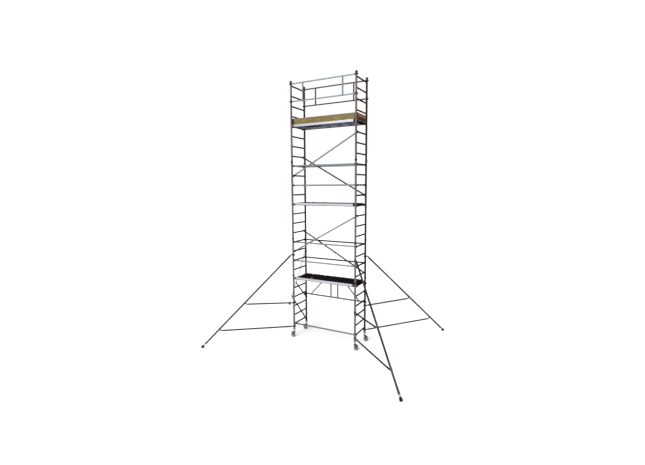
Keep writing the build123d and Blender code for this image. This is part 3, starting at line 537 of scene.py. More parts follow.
hook = bmesh.new()
outline = [(-0.05, -0.018), (-0.05, 0.022), (-0.041, HOOK_OUTER)] + arc(0, 0, HOOK_OUTER, 90, 0)
outline += [(HOOK_OUTER, -0.02), (HOOK_INNER, -0.02)] + arc(0, 0, HOOK_INNER, 0, 180)
outline += [(-HOOK_INNER, -0.018)]
add_copy(hook, cut_plate(outline, -0.02, 0.02, 0.0018))
for way in (-1, 1):
    seam = arc(0, 0, 0.0285, 100, 10, 8) + arc(0, 0, 0.0225, 10, 100, 8)
    low, high = sorted((way * 0.0195, way * 0.0212))
    add_copy(hook, cut_plate(seam, low, high, 0.0005))
    add_copy(hook, dome(0.005, 0.0025), stand((-0.036, way * 0.02, 0.006), (0, way, 0)))
lock = bmesh.new()
tongue = arc(-0.034, 0, 0.01, 90, 270, 8) + [(0.018, -0.01), (0.027, -0.006), (0.027, 0.006), (0.018, 0.01)]
add_copy(lock, cut_plate(tongue, 0.0215, 0.029, 0.001), turn_about("X", -90))
add_copy(lock, turned([
    (0, -0.0335), (0.005, -0.0335), (0.0065, -0.031), (0.0065, -0.029), (0.006, -0.0185), (0, -0.0185),
], 14, ring=False), shift(-0.034, 0, 0))

deck_rivet = dome(0.0048, 0.0016)
hooks, locks = bmesh.new(), bmesh.new()
for name, rung in PLATFORM_RUNGS.items():
    level = FIRST_RUNG + RUNG_PITCH * (rung - 1)
    top = level + DECK_RISE
    dress(f"platform_frame_{name}", platform_alloy)
    dress(f"platform_deck_{name}", deck_ply)
    for side in (-1, 1):
        for y in (-HOOK_Y, HOOK_Y):
            place = shift(side * HALF_LENGTH, y, level) @ facing(side)
            add_copy(hooks, hook, place)
            add_copy(locks, lock, place)
    deck_rivets = bmesh.new()
    for xs, ys in ((EDGE_RIVET_XS, (-0.245, 0.245)), (MIDDLE_RIVET_XS, (-0.12, 0, 0.12))):
        for x in xs:
            for y in ys:
                add_copy(deck_rivets, deck_rivet, shift(x, y, top))
    for x in BEAM_RIVET_XS:
        for way in (-1, 1):
            for z in (level - 0.006, level + 0.024):
                add_copy(deck_rivets, deck_rivet, stand((x, way * (BEAM_OUTSIDE - SUNK), z), (0, way, 0)))
    finish_piece(f"platform_rivets_{name}", deck_rivets, platform_alloy, "tower")
finish_piece("platform_cast_hooks", hooks, cast_black, "tower", ["platform_hooks"])
finish_piece("wind_locks", locks, cast_black, "tower")

# ---- Trapdoors ----
# Each hatch lid is the same coated plywood in a folded metal edge, on two zinc-plated butt hinges, with a
# finger plate and a lift ring at its free edge. It opens upwards, so all of it rides on the lid's body.

LID_MIDDLE = (HATCH_LEFT + HATCH_RIGHT) / 2
HINGE_XS = (HATCH_LEFT + 0.12, HATCH_RIGHT - 0.12)
LEAF_TOP = 0.0024
LIFT_Y = -0.195
PLY_WAVES = 2094
SKIN = 0.0006

screw = dome(0.0034, 0.0014)
for name, rung in PLATFORM_RUNGS.items():
    top = FIRST_RUNG + RUNG_PITCH * (rung - 1) + DECK_RISE
    lid_ply, place = new_finish(f"lid_ply_{name}")
    z = place.part(2)
    metal = z > top + 0.0004
    worn = place.noise(5.0, 6.0).span(0.46, 0.7)
    film = worn.mix((0.0035, 0.0012, 0.001), (0.012, 0.0045, 0.004))
    plies = (z * PLY_WAVES).math("SINE").span(-0.2, 0.2).mix((0.05, 0.03, 0.018), (0.13, 0.08, 0.045))
    edge = (z < top - SKIN) * (z > top - PLY + SKIN)
    set_shader(
        lid_ply, place, pressed_mesh(place) * (1 - metal) * 0.8, 0.0007,
        Base_Color=metal.mix(edge.mix(film, plies), (0.45, 0.44, 0.41)), Metallic=metal * 0.9,
        Roughness=worn * 0.15 + 0.66 - metal * 0.3, Specular_IOR_Level=0.02,
    )
    dress(f"trapdoor_{name}", lid_ply)
    fittings = bmesh.new()
    lift_ring = turned(arc(0.0205, 0, 0.0018, 0, 315, 7), 24)
    add_copy(fittings, lift_ring, shift(LID_MIDDLE, LIFT_Y, top + 0.0046))
    staple = block((-0.008, -0.178, 0.002), (0.008, -0.171, 0.0068), 0.0012)
    add_copy(fittings, staple, shift(LID_MIDDLE, 0, top))
    for x in (LID_MIDDLE - 0.038, LID_MIDDLE + 0.038):
        add_copy(fittings, dome(0.0038, 0.0016), shift(x, LIFT_Y, top + LEAF_TOP))
    for x in HINGE_XS:
        for step in (-0.008, 0.008):
            add_copy(fittings, screw, shift(x + step, HINGE_Y - 0.019, top + LEAF_TOP))
    finish_piece(f"lid_fittings_{name}", fittings, hinge_zinc, f"trapdoor_{name}")
    screws = bmesh.new()
    for x in HINGE_XS:
        for step in (-0.02, 0, 0.02):
            add_copy(screws, screw, shift(x + step, HINGE_Y + 0.019, top + LEAF_TOP))
    finish_piece(f"hinge_screws_{name}", screws, hinge_zinc, "tower")

# ---- Toe boards ----
# Boards of sawn and sealed plywood stand on the top deck's edges. Folded black steel clips hold the corners
# together, each fixed to both boards by two rivets.

CLIP_RIVET_INSETS = (0.022, 0.046)
FOOT_SHADOW_BAND = 0.05


def board_finish(name, along, light, dark, stain):
    """Sealed birch plywood: its grain and stain, the plies on its edges, and painted shadow on the end
    boards' feet.
    """
    material, place = new_finish(name)
    coarse, fine = ((1.2, 14, 14), (3, 60, 60)) if along == 0 else ((14, 1.2, 14), (60, 3, 60))
    grain = place.scaled(*coarse).noise(6.0, 8.0)
    rays = place.scaled(*fine).noise(3.0, 3.0)
    mottle = place.noise(9.0, 6.0).span(0.42, 0.66)
    plies = (place.part(1 - along) * PLY_WAVES).math("SINE").span(-0.3, 0.3)
    edge = place.part(2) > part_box("toe_boards_side")[1].z - SKIN
    face = grain.span(0.3, 0.7).mix(dark, light)
    stained = (mottle * 0.55 + rays * 0.15).mix(face, stain)
    if along == 1:
        # A painted shadow darkens the foot of each end board.
        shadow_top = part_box("toe_boards_end")[0].z + FOOT_SHADOW_BAND
        stained = place.part(2).span(shadow_top + 0.025, shadow_top).mix(stained, (0.02, 0.01, 0.008))
    set_shader(
        material, place, grain * 0.6 + rays * 0.4, 0.0006,
        Base_Color=edge.mix(stained, plies.mix(dark, light)), Roughness=grain * 0.2 + 0.55,
        Specular_IOR_Level=0.2,
    )
    return material


side_ply = board_finish("toe_ply", 0, (0.25, 0.2, 0.085), (0.11, 0.09, 0.033), (0.14, 0.085, 0.033))
end_ply = board_finish("toe_end_ply", 1, (0.4, 0.16, 0.085), (0.2, 0.078, 0.043), (0.1, 0.038, 0.025))
dress("toe_boards_side", side_ply)
dress("toe_boards_end", end_ply)
clip_black, place = new_finish("clip_black")
chips = place.noise(70.0, 6.0).span(0.62, 0.68)
set_shader(
    clip_black, place, place.noise(500.0, 2.0), 0.0003,
    Base_Color=chips.mix((0.018, 0.012, 0.011), (0.14, 0.11, 0.1)),
    Metallic=chips * 0.8, Roughness=0.5 - chips * 0.15, Specular_IOR_Level=0.2,
)
dress("toe_board_clips", clip_black)
clips_low, clips_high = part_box("toe_board_clips")
clip_rivets = bmesh.new()
for side, way in CORNERS.values():
    for z in (clips_low.z + 0.035, clips_high.z - 0.035):
        for inset in CLIP_RIVET_INSETS:
            on_side = (side * (clips_high.x - inset), way * (clips_high.y - SUNK), z)
            on_end = (side * (clips_high.x - SUNK), way * (BEAM_OUTSIDE - inset), z)
            add_copy(clip_rivets, deck_rivet, stand(on_side, (0, way, 0)))
            add_copy(clip_rivets, deck_rivet, stand(on_end, (side, 0, 0)))
finish_piece("toe_clip_rivets", clip_rivets, hinge_zinc, "tower")

# ---- Guard frames ----
# Two rails and two posts of thin aluminium tube are welded into a frame for each long side. Split clamps
# with a swing bolt and a wing nut close round the standards at both ends of each rail.

GUARD_RAIL_R = 0.017
GUARD_POST_X = 0.55
CLAMP_NECK = 0.046
CLAMP_R = 0.033
CLAMP_HALF = 0.022
CLAMP_LUG = 0.009
CLAMP_BOLT_X = 0.041


def guard_shaded_colour(place):
    """Bright rails with greyer posts at the front, and both darkened with painted shade at the back."""
    x, y = place.part(0), place.part(1)
    post = (x.math("ABSOLUTE") - GUARD_POST_X).math("ABSOLUTE") < 0.0195
    front = (post * 0.7).mix((0.36, 0.42, 0.46), (0.19, 0.19, 0.21))
    back = (post * 0.6).mix((0.09, 0.085, 0.088), (0.055, 0.048, 0.047))
    return (y > 0).mix(front, back)


guard_alloy = alloy_finish("guard_alloy", guard_shaded_colour, roughness=0.3, upright=False)
dress("guard_frame_front", guard_alloy)
dress("guard_frame_back", guard_alloy)
guard_low, guard_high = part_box("guard_frame_front")
rail_low, rail_high = guard_low.z + GUARD_RAIL_R, guard_high.z - GUARD_RAIL_R

guard_welds = bmesh.new()
post_bead = weld_bead(0.0165, GUARD_RAIL_R + 0.0006, 0.0024)
on_lower_rail = turn_about("X", 90) @ turn_about("Y", 90)
on_upper_rail = turn_about("X", 180) @ on_lower_rail
for y in (-HALF_WIDTH, HALF_WIDTH):
    for x in (-GUARD_POST_X, GUARD_POST_X):
        add_copy(guard_welds, post_bead, shift(x, y, rail_low) @ on_lower_rail)
        add_copy(guard_welds, post_bead, shift(x, y, rail_high) @ on_upper_rail)
finish_piece("guard_frame_welds", guard_welds, frame_weld, "tower")


def wing_nut():
    """A forged wing nut that closes along +Z, with its bolt's end showing."""
    shape = bmesh.new()
    bmesh.ops.create_cone(
        shape, cap_ends=True, segments=12, radius1=0.0085, radius2=0.0065, depth=0.008,
        matrix=shift(0, 0, 0.004),
    )
    wing = [(0.004, 0.001), (0.0155, 0.006), (0.0175, 0.0115), (0.013, 0.0125), (0.004, 0.007)]
    for way in (-1, 1):
        add_copy(shape, cut_plate(wing, -0.0018, 0.0018, 0.0007), facing(way))
    add_copy(shape, turned([(0, 0.012), (0.0032, 0.012), (0.004, 0.011), (0.004, 0), (0, 0)], 12, ring=False))
    return shape


def hex_head(across, depth):
    """A bolt head or nut with chamfered corners, standing up from z 0."""
    shape = bmesh.new()
    bmesh.ops.create_cone(
        shape, cap_ends=True, segments=6, radius1=across, radius2=across, depth=depth,
        matrix=shift(0, 0, depth / 2),
    )
    return ease(shape, 0.0009, 1)


def add_swing_bolt(piece, middle, half):
    """Put a clamp's bolt into a piece: its head and its wing nut are each half the lugs' width away."""
    for way, end in ((-1, hex_head(0.0065, 0.005)), (1, wing_nut())):
        add_copy(piece, end, stand(Vector(middle) + Vector((0, way * half, 0)), (0, way, 0)))


def mirrored(upper):
    """An outline of (radius, height) points from its upper half, with the same below."""
    return [(r, -z) for r, z in reversed(upper)] + upper


clamp = turned(mirrored([
    (0.0312, CLAMP_HALF - 0.011), (CLAMP_R, CLAMP_HALF - 0.008), (CLAMP_R, CLAMP_HALF - 0.002),
    (0.031, CLAMP_HALF), (ROUND_STANDARD, CLAMP_HALF),
]), 32)
lug_top = CLAMP_HALF - 0.009
for low, high in ((-CLAMP_LUG, -0.0015), (0.0015, CLAMP_LUG)):
    add_copy(clamp, block((-0.0485, low, -lug_top), (-0.029, high, lug_top), 0.0016))
add_swing_bolt(clamp, (-CLAMP_BOLT_X, 0, 0), CLAMP_LUG)
neck_end = CLAMP_NECK - 0.0005
add_copy(clamp, turned([
    (0, 0.029), (GUARD_RAIL_R, 0.029), (GUARD_RAIL_R, CLAMP_NECK - 0.004), (GUARD_RAIL_R - 0.0012, neck_end),
    (0, neck_end),
], 24, ring=False), turn_about("Y", 90))
clamps = bmesh.new()
for side, way in CORNERS.values():
    for z in (rail_low, rail_high):
        add_copy(clamps, clamp, shift(side * HALF_LENGTH, way * HALF_WIDTH, z) @ facing(-side))
finish_piece("guard_frame_split_clamps", clamps, cast_black, "tower", ["guard_frame_clamps"])

# ---- Folding gate of the base ----
# The back of the base unit is a gate in two welded halves that fold in the middle on pinned knuckles. Each
# half has two rails, a post and a stay, and cast clamps join it to the standards.

GATE_LOW = 1.068
GATE_HIGH = 1.575
GATE_POST_X = 0.104


def gate_colour(place):
    """Pale anodised tube, with black cast clamps at the standards."""
    x = place.part(0).math("ABSOLUTE")
    return (x > HALF_LENGTH - CLAMP_NECK + 0.001).mix((0.1, 0.12, 0.145), (0.02, 0.015, 0.014))


gate_alloy = alloy_finish("gate_alloy", gate_colour, roughness=0.32, upright=False)
dress("fold_gate_left", gate_alloy)
dress("fold_gate_right", gate_alloy)
gate_welds, gate_bolts = bmesh.new(), bmesh.new()
gate_bead = weld_bead(0.0182, BRACE_R, 0.0025)
for side in (-1, 1):
    for z, turn in ((GATE_LOW, on_lower_rail), (GATE_HIGH, on_upper_rail)):
        add_copy(gate_welds, gate_bead, shift(side * GATE_POST_X, HALF_WIDTH, z) @ turn)
        add_swing_bolt(gate_bolts, (side * (HALF_LENGTH + CLAMP_BOLT_X), HALF_WIDTH, z), CLAMP_LUG)
finish_piece("fold_gate_welds", gate_welds, frame_weld, "tower")
finish_piece("fold_gate_bolts", gate_bolts, hinge_zinc, "tower")

# ---- Adjustable legs and their nuts ----
# A threaded steel leg slides up inside each base standard, with a plated winged nut under the standard's end
# that carries the tower. Turning the nut lets the leg down.

LEG_LOW = 0.165
LEG_HIGH = 0.685
LEG_ROOT = 0.0201
LEG_CREST = 0.021
THREAD_PITCH = 0.008
THREAD_TURNS = 60
STEPS_A_TURN = 20
LEG_BORE = 0.0175
NUT_LOW = 0.2047
NUT_HEIGHT = 0.04

leg_steel, place = new_finish("leg_steel")
oil = place.noise(30.0, 5.0)
rust = place.noise(60.0, 6.0).span(0.64, 0.76)
set_shader(
    leg_steel, place, oil * 0.3, 0.0003,
    Base_Color=rust.mix((0.36, 0.36, 0.37), (0.22, 0.13, 0.08)), Metallic=0.95 - rust * 0.6,
    Roughness=oil * 0.3 + 0.22 + rust * 0.2,
)
nut_zinc, place = new_finish("nut_zinc")
skin = place.noise(240.0, 4.0)
bloom = place.noise(22.0, 5.0).span(0.4, 0.7)
set_shader(
    nut_zinc, place, skin, 0.0006, Base_Color=bloom.mix((0.33, 0.33, 0.34), (0.5, 0.5, 0.5)),
    Metallic=0.85, Roughness=skin * 0.2 + 0.38,
)

leg = turned([
    (LEG_BORE, LEG_LOW), (0.0205, LEG_LOW), (LEG_CREST, LEG_LOW + 0.001), (LEG_CREST, LEG_LOW + 0.018),
    (LEG_ROOT, LEG_LOW + 0.019), (LEG_ROOT, LEG_HIGH - 0.018), (LEG_CREST, LEG_HIGH - 0.017),
    (LEG_CREST, LEG_HIGH), (LEG_BORE, LEG_HIGH),
], 32)
thread = bmesh.new()
start = LEG_LOW + 0.017
sunk_root = LEG_ROOT - 0.0004
tooth = [(sunk_root, 0), (LEG_CREST, 0.0018), (LEG_CREST, 0.0036), (sunk_root, 0.0054)]
section = thread.faces.new([thread.verts.new((r, 0, start + z)) for r, z in tooth])
bmesh.ops.spin(
    thread, geom=[section], axis=(0, 0, 1), cent=(0, 0, 0), dvec=(0, 0, THREAD_PITCH / STEPS_A_TURN),
    angle=math.tau * THREAD_TURNS, steps=STEPS_A_TURN * THREAD_TURNS, use_merge=False,
)
add_copy(leg, thread)
add_copy(leg, turned([
    (0.014, LEG_HIGH), (0.0226, LEG_HIGH), (0.0231, LEG_HIGH + 0.001), (0.0231, LEG_HIGH + 0.011),
    (0.0225, LEG_HIGH + 0.012), (0.014, LEG_HIGH + 0.012),
], 28))
bush = [(0.0101, 0), (LEG_BORE + 0.0003, 0), (LEG_BORE + 0.0003, 0.06), (0.0101, 0.06)]
add_copy(leg, turned(bush, 28), shift(0, 0, LEG_LOW))

nut = turned([
    (0.0212, 0), (0.0275, 0), (0.031, 0.003), (0.031, 0.012), (0.0296, 0.015), (0.0296, 0.025),
    (0.031, 0.028), (0.031, 0.037), (0.029, NUT_HEIGHT), (0.0212, NUT_HEIGHT),
], 36)
ear = arc(0.037, NUT_HEIGHT / 2, 0.0078, 60, -60, 6) + [(0.028, 0.008), (0.028, 0.032)]
for quarter in range(4):
    add_copy(nut, cut_plate(ear, -0.006, 0.006, 0.0016), turn_about("Z", 90 * quarter))


def under_standard(side, way, height=0.0):
    """The placement under one standard, trailing away from the tower's middle."""
    return shift(side * HALF_LENGTH, way * HALF_WIDTH, height) @ facing(side)


def placed(shape, place):
    """A new shape that is a placed copy of another."""
    copy = bmesh.new()
    add_copy(copy, shape, place)
    return copy


for corner, spot in CORNERS.items():
    leg_here, nut_here = placed(leg, under_standard(*spot)), placed(nut, under_standard(*spot, NUT_LOW))
    cad_leg, cad_nut = f"adjustable_leg_{corner}", f"adjusting_nut_{corner}"
    finish_piece(f"threaded_leg_{corner}", leg_here, leg_steel, f"leg_{corner}", [cad_leg])
    finish_piece(f"winged_nut_{corner}", nut_here, nut_zinc, f"nut_{corner}", [cad_nut])

# ---- Castors ----
# A pressed and plated steel fork turns on a ball race under the leg, and carries a grey rubber tyre on a
# ribbed nylon centre. A foot pedal over the wheel presses a brake shoe on to the tyre.

AXLE_X = 0.035
AXLE_Z = 0.0625
FORK_TOP = 0.15
CHEEK_IN = 0.02
CHEEK_OUT = 0.024
PEDAL_X = 0.044
PEDAL_Z = 0.138
SPOKES = 8

castor_steel, place = new_finish("castor_steel")
flow = place.noise(45.0, 5.0)
set_shader(
    castor_steel, place, flow * 0.4, 0.0004,
    Base_Color=flow.span(0.35, 0.65).mix((0.055, 0.053, 0.054), (0.16, 0.16, 0.16)),
    Metallic=0.9, Roughness=flow * 0.25 + 0.25,
)
wheel_grey, place = new_finish("wheel_grey")
scuffs = place.noise(80.0, 6.0).span(0.45, 0.7)
set_shader(
    wheel_grey, place, place.noise(400.0, 3.0), 0.0005,
    Base_Color=scuffs.mix((0.012, 0.012, 0.0125), (0.04, 0.039, 0.038)), Roughness=scuffs * 0.2 + 0.6,
    Specular_IOR_Level=0.2,
)
hub_grey, place = new_finish("hub_grey")
marks = place.noise(40.0, 5.0)
set_shader(
    hub_grey, place, marks, 0.0003, Base_Color=marks.mix((0.27, 0.27, 0.28), (0.4, 0.4, 0.41)),
    Roughness=marks * 0.2 + 0.4,
)

fork = turned([
    (0, 0.1502), (0.0325, 0.1502), (0.034, 0.1512), (0.034, 0.1545), (0.0325, 0.156), (0.022, 0.156),
    (0.0215, 0.1572), (0.0228, 0.1592), (0.0215, 0.1612), (0.0185, 0.1625), (0.018, 0.1646), (0.01, 0.1646),
    (0.01, 0.235), (0, 0.235),
], 32, ring=False)
add_copy(fork, block((0, -CHEEK_OUT, FORK_TOP), (PEDAL_X + 0.002, CHEEK_OUT, FORK_TOP + 0.006), 0.0015))
cheek = [(-0.02, FORK_TOP + 0.002), (-0.021, FORK_TOP - 0.012)] + arc(AXLE_X, AXLE_Z, 0.0165, 165, 375, 12)
cheek += [(PEDAL_X + 0.01, PEDAL_Z - 0.016), (PEDAL_X + 0.01, FORK_TOP + 0.002)]
boss = turned([(0.0065, 0), (0.0125, 0), (0.0115, 0.0016), (0.0065, 0.0016)], 20)
for way in (-1, 1):
    low, high = sorted((way * CHEEK_IN, way * CHEEK_OUT))
    add_copy(fork, cut_plate(cheek, low, high, 0.001))
    axle_end = stand((AXLE_X, way * CHEEK_OUT, AXLE_Z), (0, way, 0))
    add_copy(fork, boss, axle_end)
    add_copy(fork, hex_head(0.0095, 0.007), axle_end)
    add_copy(fork, dome(0.0042, 0.002), stand((PEDAL_X, way * CHEEK_OUT, PEDAL_Z), (0, way, 0)))
on_axle = shift(AXLE_X, 0, AXLE_Z) @ turn_about("X", 90)
add_copy(fork, turned(mirrored([(0.006, CHEEK_OUT), (0, CHEEK_OUT)]), 16, ring=False), on_axle)

tread = mirrored([
    (0.0625, 0.002), (0.0612, 0.0032), (0.0612, 0.004), (0.0625, 0.0055), (0.0616, 0.0095), (0.059, 0.0135),
    (0.0545, 0.0155), (0.0463, 0.015),
])
tyre = placed(turned(tread, 48), on_axle)
hub = turned(mirrored([
    (0.046, 0.013), (0.0455, 0.0138), (0.0405, 0.0138), (0.0392, 0.0125), (0.0385, 0.005), (0.0158, 0.006),
    (0.015, 0.016), (0.0145, 0.0175), (0.0105, 0.0184), (0.0062, 0.018),
]), 48)
spoke = block((0.0135, -0.0015, -0.0115), (0.0395, 0.0015, 0.0115), 0.0006)
for number in range(SPOKES):
    add_copy(hub, spoke, turn_about("Z", 360 / SPOKES * number))
hub = placed(hub, on_axle)

pedal = cut_plate([
    (-0.006, 0.0025), (-0.006, -0.0025), (0.03, -0.0035), (0.044, -0.0045), (0.056, -0.001), (0.056, 0.0078),
    (0.051, 0.0078), (0.046, 0.0028),
], -0.017, 0.017, 0.0012)
for step in range(5):
    low = 0.016 + 0.006 * step
    add_copy(pedal, block((low, -0.0135, 0.0022), (low + 0.0028, 0.0135, 0.0042), 0.0005))
barrel = mirrored([(0.006, 0.019), (0.0058, 0.0197), (0, 0.0197)])
add_copy(pedal, turned(barrel, 18, ring=False), turn_about("X", 90))
shoe = [(-0.004, -0.002), (-0.004, -0.0105), (0, -0.012), (0.004, -0.0105), (0.004, -0.002)]
add_copy(pedal, cut_plate(shoe, -0.012, 0.012, 0.0008))
pedal = placed(pedal, shift(PEDAL_X, 0, PEDAL_Z))

for corner, spot in CORNERS.items():
    place = under_standard(*spot)
    for name, shape, finish, part, slot, cad_node in (
        ("pressed_fork", fork, castor_steel, "castor", "castor_steel", "castor_fork"),
        ("rubber_tyre", tyre, wheel_grey, "wheel", "wheel_grey", "castor_wheel"),
        ("wheel_centre", hub, hub_grey, "wheel", "wheel_grey", None),
        ("foot_pedal", pedal, moulded_black, "pedal", "pedal_dark", "brake_pedal"),
    ):
        stands_for = [f"{cad_node}_{corner}"] if cad_node else []
        finish_piece(f"{name}_{corner}", placed(shape, place), finish, f"{part}_{corner}", stands_for)

# ---- Stabilisers ----
# A long aluminium leg leans out from each corner at 45 degrees, held by a clamp at its head and by two
# struts. Cast couplers, clevis ears and cross bolts join the struts, and a twist collar locks the inner leg.

HEAD = Vector((0.058, 0, 2.2915))
FOOT = Vector((2.397, 0, 0.042))
LEG_LINE = (FOOT - HEAD).normalized()
LEG_ACROSS = Vector((LEG_LINE.z, 0, -LEG_LINE.x))
LEG_REACH = (FOOT - HEAD).length
OUTER_R = 0.02225
INNER_R = 0.019
PAD_HALF = 0.039
INNER_SHOWN = 0.07
STRUT_R = 0.019
STRUTS = {0.974: 1.264, 0.311: 1.929}  # the height of each inner pin, and how far out its outer pin is
PIN_DROP = 0.06
CLAMP_PIN = 0.058
EAR_GAP = 0.0063
EAR_OUT = EAR_GAP + 0.008
CLEVIS_END = 0.034
GRIP_BOLT_X = 0.039
GRIP_LUG = 0.008
INNER_HIDDEN = 0.78
TWIST_RIBS = 14
HIGHLIT_LEG = "back_left"


def stabiliser_colour(place):
    """Weathered aluminium: a dark, warm grey with paler rubbed places."""
    rubbed = place.noise(3.0, 6.0).span(0.5, 0.75)
    return rubbed.mix((0.05, 0.038, 0.035), (0.12, 0.105, 0.1))


def highlight_leg_colour(place):
    """A leg given a painted highlight: bright, almost white aluminium."""
    return place.noise(6.0, 4.0).mix((0.86, 0.88, 0.89), (0.95, 0.96, 0.96))


stabiliser_alloy = alloy_finish("stabiliser_alloy", stabiliser_colour, roughness=0.38)
highlit_alloy = alloy_finish("highlit_alloy", highlight_leg_colour, roughness=0.5)


def pipe(start, end, radius, wall):
    """A round tube with eased ends between two points."""
    line = end - start
    length, bore, lip = line.length, radius - wall, 0.0006
    outline = [(bore, 0), (radius - lip, 0), (radius, lip)]
    outline += [(radius, length - lip), (radius - lip, length), (bore, length)]
    return placed(turned(outline, 28), stand(start, line))


def clevis(pin, way):
    """Two rounded ears from a pin along a tube's way, and the disc that closes the tube."""
    shape = bmesh.new()
    outline = arc(0, 0, 0.012, 90, 270, 10) + [(0.03, -0.012), (0.03, 0.012)]
    for side in (-1, 1):
        low, high = sorted((side * EAR_GAP, side * EAR_OUT))
        add_copy(shape, cut_plate(outline, low, high, 0.001))
    disc = [(0, 0.027), (0.0175, 0.027), (STRUT_R, 0.0285), (STRUT_R, CLEVIS_END), (0, CLEVIS_END)]
    add_copy(shape, turned(disc, 24, ring=False), turn_about("Y", 90))
    across = Vector((0, 1, 0))
    return placed(shape, Matrix.Translation(pin) @ turned_to(way, across, way.cross(across)))


def cross_bolt(pin):
    """The bolt through a clevis: a hexagon head, a washer at both ends and a nut."""
    half = Vector((0, EAR_OUT, 0))
    shape = pipe(pin - half, pin + half, 0.005, 0.0049)
    washer = turned([(0.0055, 0), (0.0095, 0), (0.0095, 0.0014), (0.0055, 0.0014)], 18)
    for way in (-1, 1):
        seat = stand(pin + half * way, (0, way, 0))
        add_copy(shape, washer, seat)
        add_copy(shape, hex_head(0.0082, 0.0066), seat)
    return shape


def pin_lug(root, neck, pin, spread):
    """A plate that runs out along +X from its root and neck, each an (x, half height), to end round a pin."""
    (root_x, root_z), (neck_x, neck_z) = root, neck
    outline = [(root_x, -root_z), (neck_x, -neck_z)] + arc(pin, 0, 0.013, -spread, spread)
    return cut_plate(outline + [(neck_x, neck_z), (root_x, root_z)], -0.006, 0.006, 0.001)


def standard_grip(z):
    """The clamp that turns round the standard, its pin lug, its split lugs and its swing bolt."""
    shape = turned(mirrored([
        (0.0308, 0.011), (0.0329, 0.014), (0.0329, 0.0225), (0.0305, 0.025), (ROUND_STANDARD, 0.025),
    ]), 32)
    add_copy(shape, pin_lug((0.029, 0.015), (CLAMP_PIN, 0.0135), CLAMP_PIN, 85))
    for low, high in ((-GRIP_LUG, -0.0012), (0.0012, GRIP_LUG)):
        add_copy(shape, block((-0.0465, low, -0.014), (-0.029, high, 0.014), 0.0015))
    add_swing_bolt(shape, (-GRIP_BOLT_X, 0, 0), GRIP_LUG)
    return placed(shape, shift(0, 0, z))


def leg_coupler(middle):
    """The cast coupler round the leg, with the rounded lug below it for a strut's pin."""
    shape = turned(mirrored([
        (0.0268, 0.017), (0.0283, 0.019), (0.0283, 0.0262), (0.0268, 0.028), (0.0224, 0.028),
    ]), 32)
    add_copy(shape, pin_lug((0.024, 0.016), (PIN_DROP - 0.01, 0.0155), PIN_DROP, 75))
    for way in (-1, 1):
        add_copy(shape, dome(0.0048, 0.0022), stand((0.036, way * 0.006, 0), (0, way, 0)))
    turn = turned_to(LEG_ACROSS, LEG_LINE.cross(LEG_ACROSS), LEG_LINE)
    return placed(shape, Matrix.Translation(middle) @ turn)


outer_end = HEAD + LEG_LINE * (LEG_REACH - PAD_HALF - INNER_SHOWN)
outer_leg = pipe(HEAD + LEG_LINE * 0.024, outer_end, OUTER_R, 0.002)
struts, castings, couplers, bolts = (bmesh.new() for shape in range(4))
add_copy(castings, standard_grip(HEAD.z))
add_copy(castings, clevis(HEAD, LEG_LINE))
add_copy(bolts, cross_bolt(HEAD))
for height, radius in STRUTS.items():
    station = (radius - HEAD.x - PIN_DROP * LEG_ACROSS.x) / LEG_LINE.x
    middle = HEAD + LEG_LINE * station
    inner_pin = Vector((CLAMP_PIN, 0, height))
    outer_pin = middle + LEG_ACROSS * PIN_DROP
    along = (outer_pin - inner_pin).normalized()
    add_copy(struts, pipe(inner_pin + along * CLEVIS_END, outer_pin - along * CLEVIS_END, STRUT_R, 0.0016))
    add_copy(castings, standard_grip(height))
    add_copy(couplers, leg_coupler(middle))
    for pin, way in ((inner_pin, along), (outer_pin, -along)):
        add_copy(castings, clevis(pin, way))
        add_copy(bolts, cross_bolt(pin))
twist = turned([
    (0.0191, -0.02), (0.026, -0.02), (0.0282, -0.018), (0.0282, -0.013), (0.0262, -0.011), (0.0262, 0.018),
    (0.0282, 0.02), (0.0282, 0.027), (0.0262, 0.03), (0.0225, 0.03), (0.0225, 0.0), (0.0191, 0.0),
], 32)
rib = block((0.0255, -0.0014, -0.0105), (0.0278, 0.0014, 0.0175), 0.0006)
for number in range(TWIST_RIBS):
    add_copy(twist, rib, turn_about("Z", 360 / TWIST_RIBS * number))
twist = placed(twist, stand(outer_end, -LEG_LINE))

inner_start = FOOT - LEG_LINE * (PAD_HALF + INNER_SHOWN + INNER_HIDDEN)
inner = pipe(inner_start, FOOT - LEG_LINE * (PAD_HALF - 0.04), INNER_R, 0.0025)
guide = turned([
    (0.0165, -0.01), (0.0195, -0.01), (0.01995, -0.009), (0.01995, -0.001), (0.0195, 0), (0.0165, 0),
], 24)
add_copy(inner, guide, stand(inner_start, LEG_LINE))

foot_rubber, place = new_finish("foot_rubber")
bloom = place.noise(34.0, 5.0)
set_shader(
    foot_rubber, place, place.noise(600.0, 2.0), 0.0005,
    Base_Color=bloom.mix((0.004, 0.004, 0.004), (0.014, 0.013, 0.013)),
    Roughness=bloom * 0.2 + 0.6, Specular_IOR_Level=0.15,
)
pad = turned([
    (0.0192, -PAD_HALF), (0.0255, -PAD_HALF), (0.0275, -0.0365), (0.0275, -0.024), (0.0295, -0.021),
    (0.0295, -0.014), (0.0315, -0.011), (0.0315, -0.004), (0.034, 0.0), (0.034, 0.031), (0.032, 0.036),
    (0.026, PAD_HALF), (0, PAD_HALF), (0, 0.0012), (0.0192, 0.0012),
], 40, ring=False)
pad = placed(pad, stand(FOOT, LEG_LINE))
cut = bmesh.ops.bisect_plane(
    pad, geom=pad.verts[:] + pad.edges[:] + pad.faces[:], plane_co=(0, 0, 0), plane_no=(0, 0, -1),
    clear_outer=True,
)
bmesh.ops.holes_fill(pad, edges=[item for item in cut["geom_cut"] if isinstance(item, bmesh.types.BMEdge)])

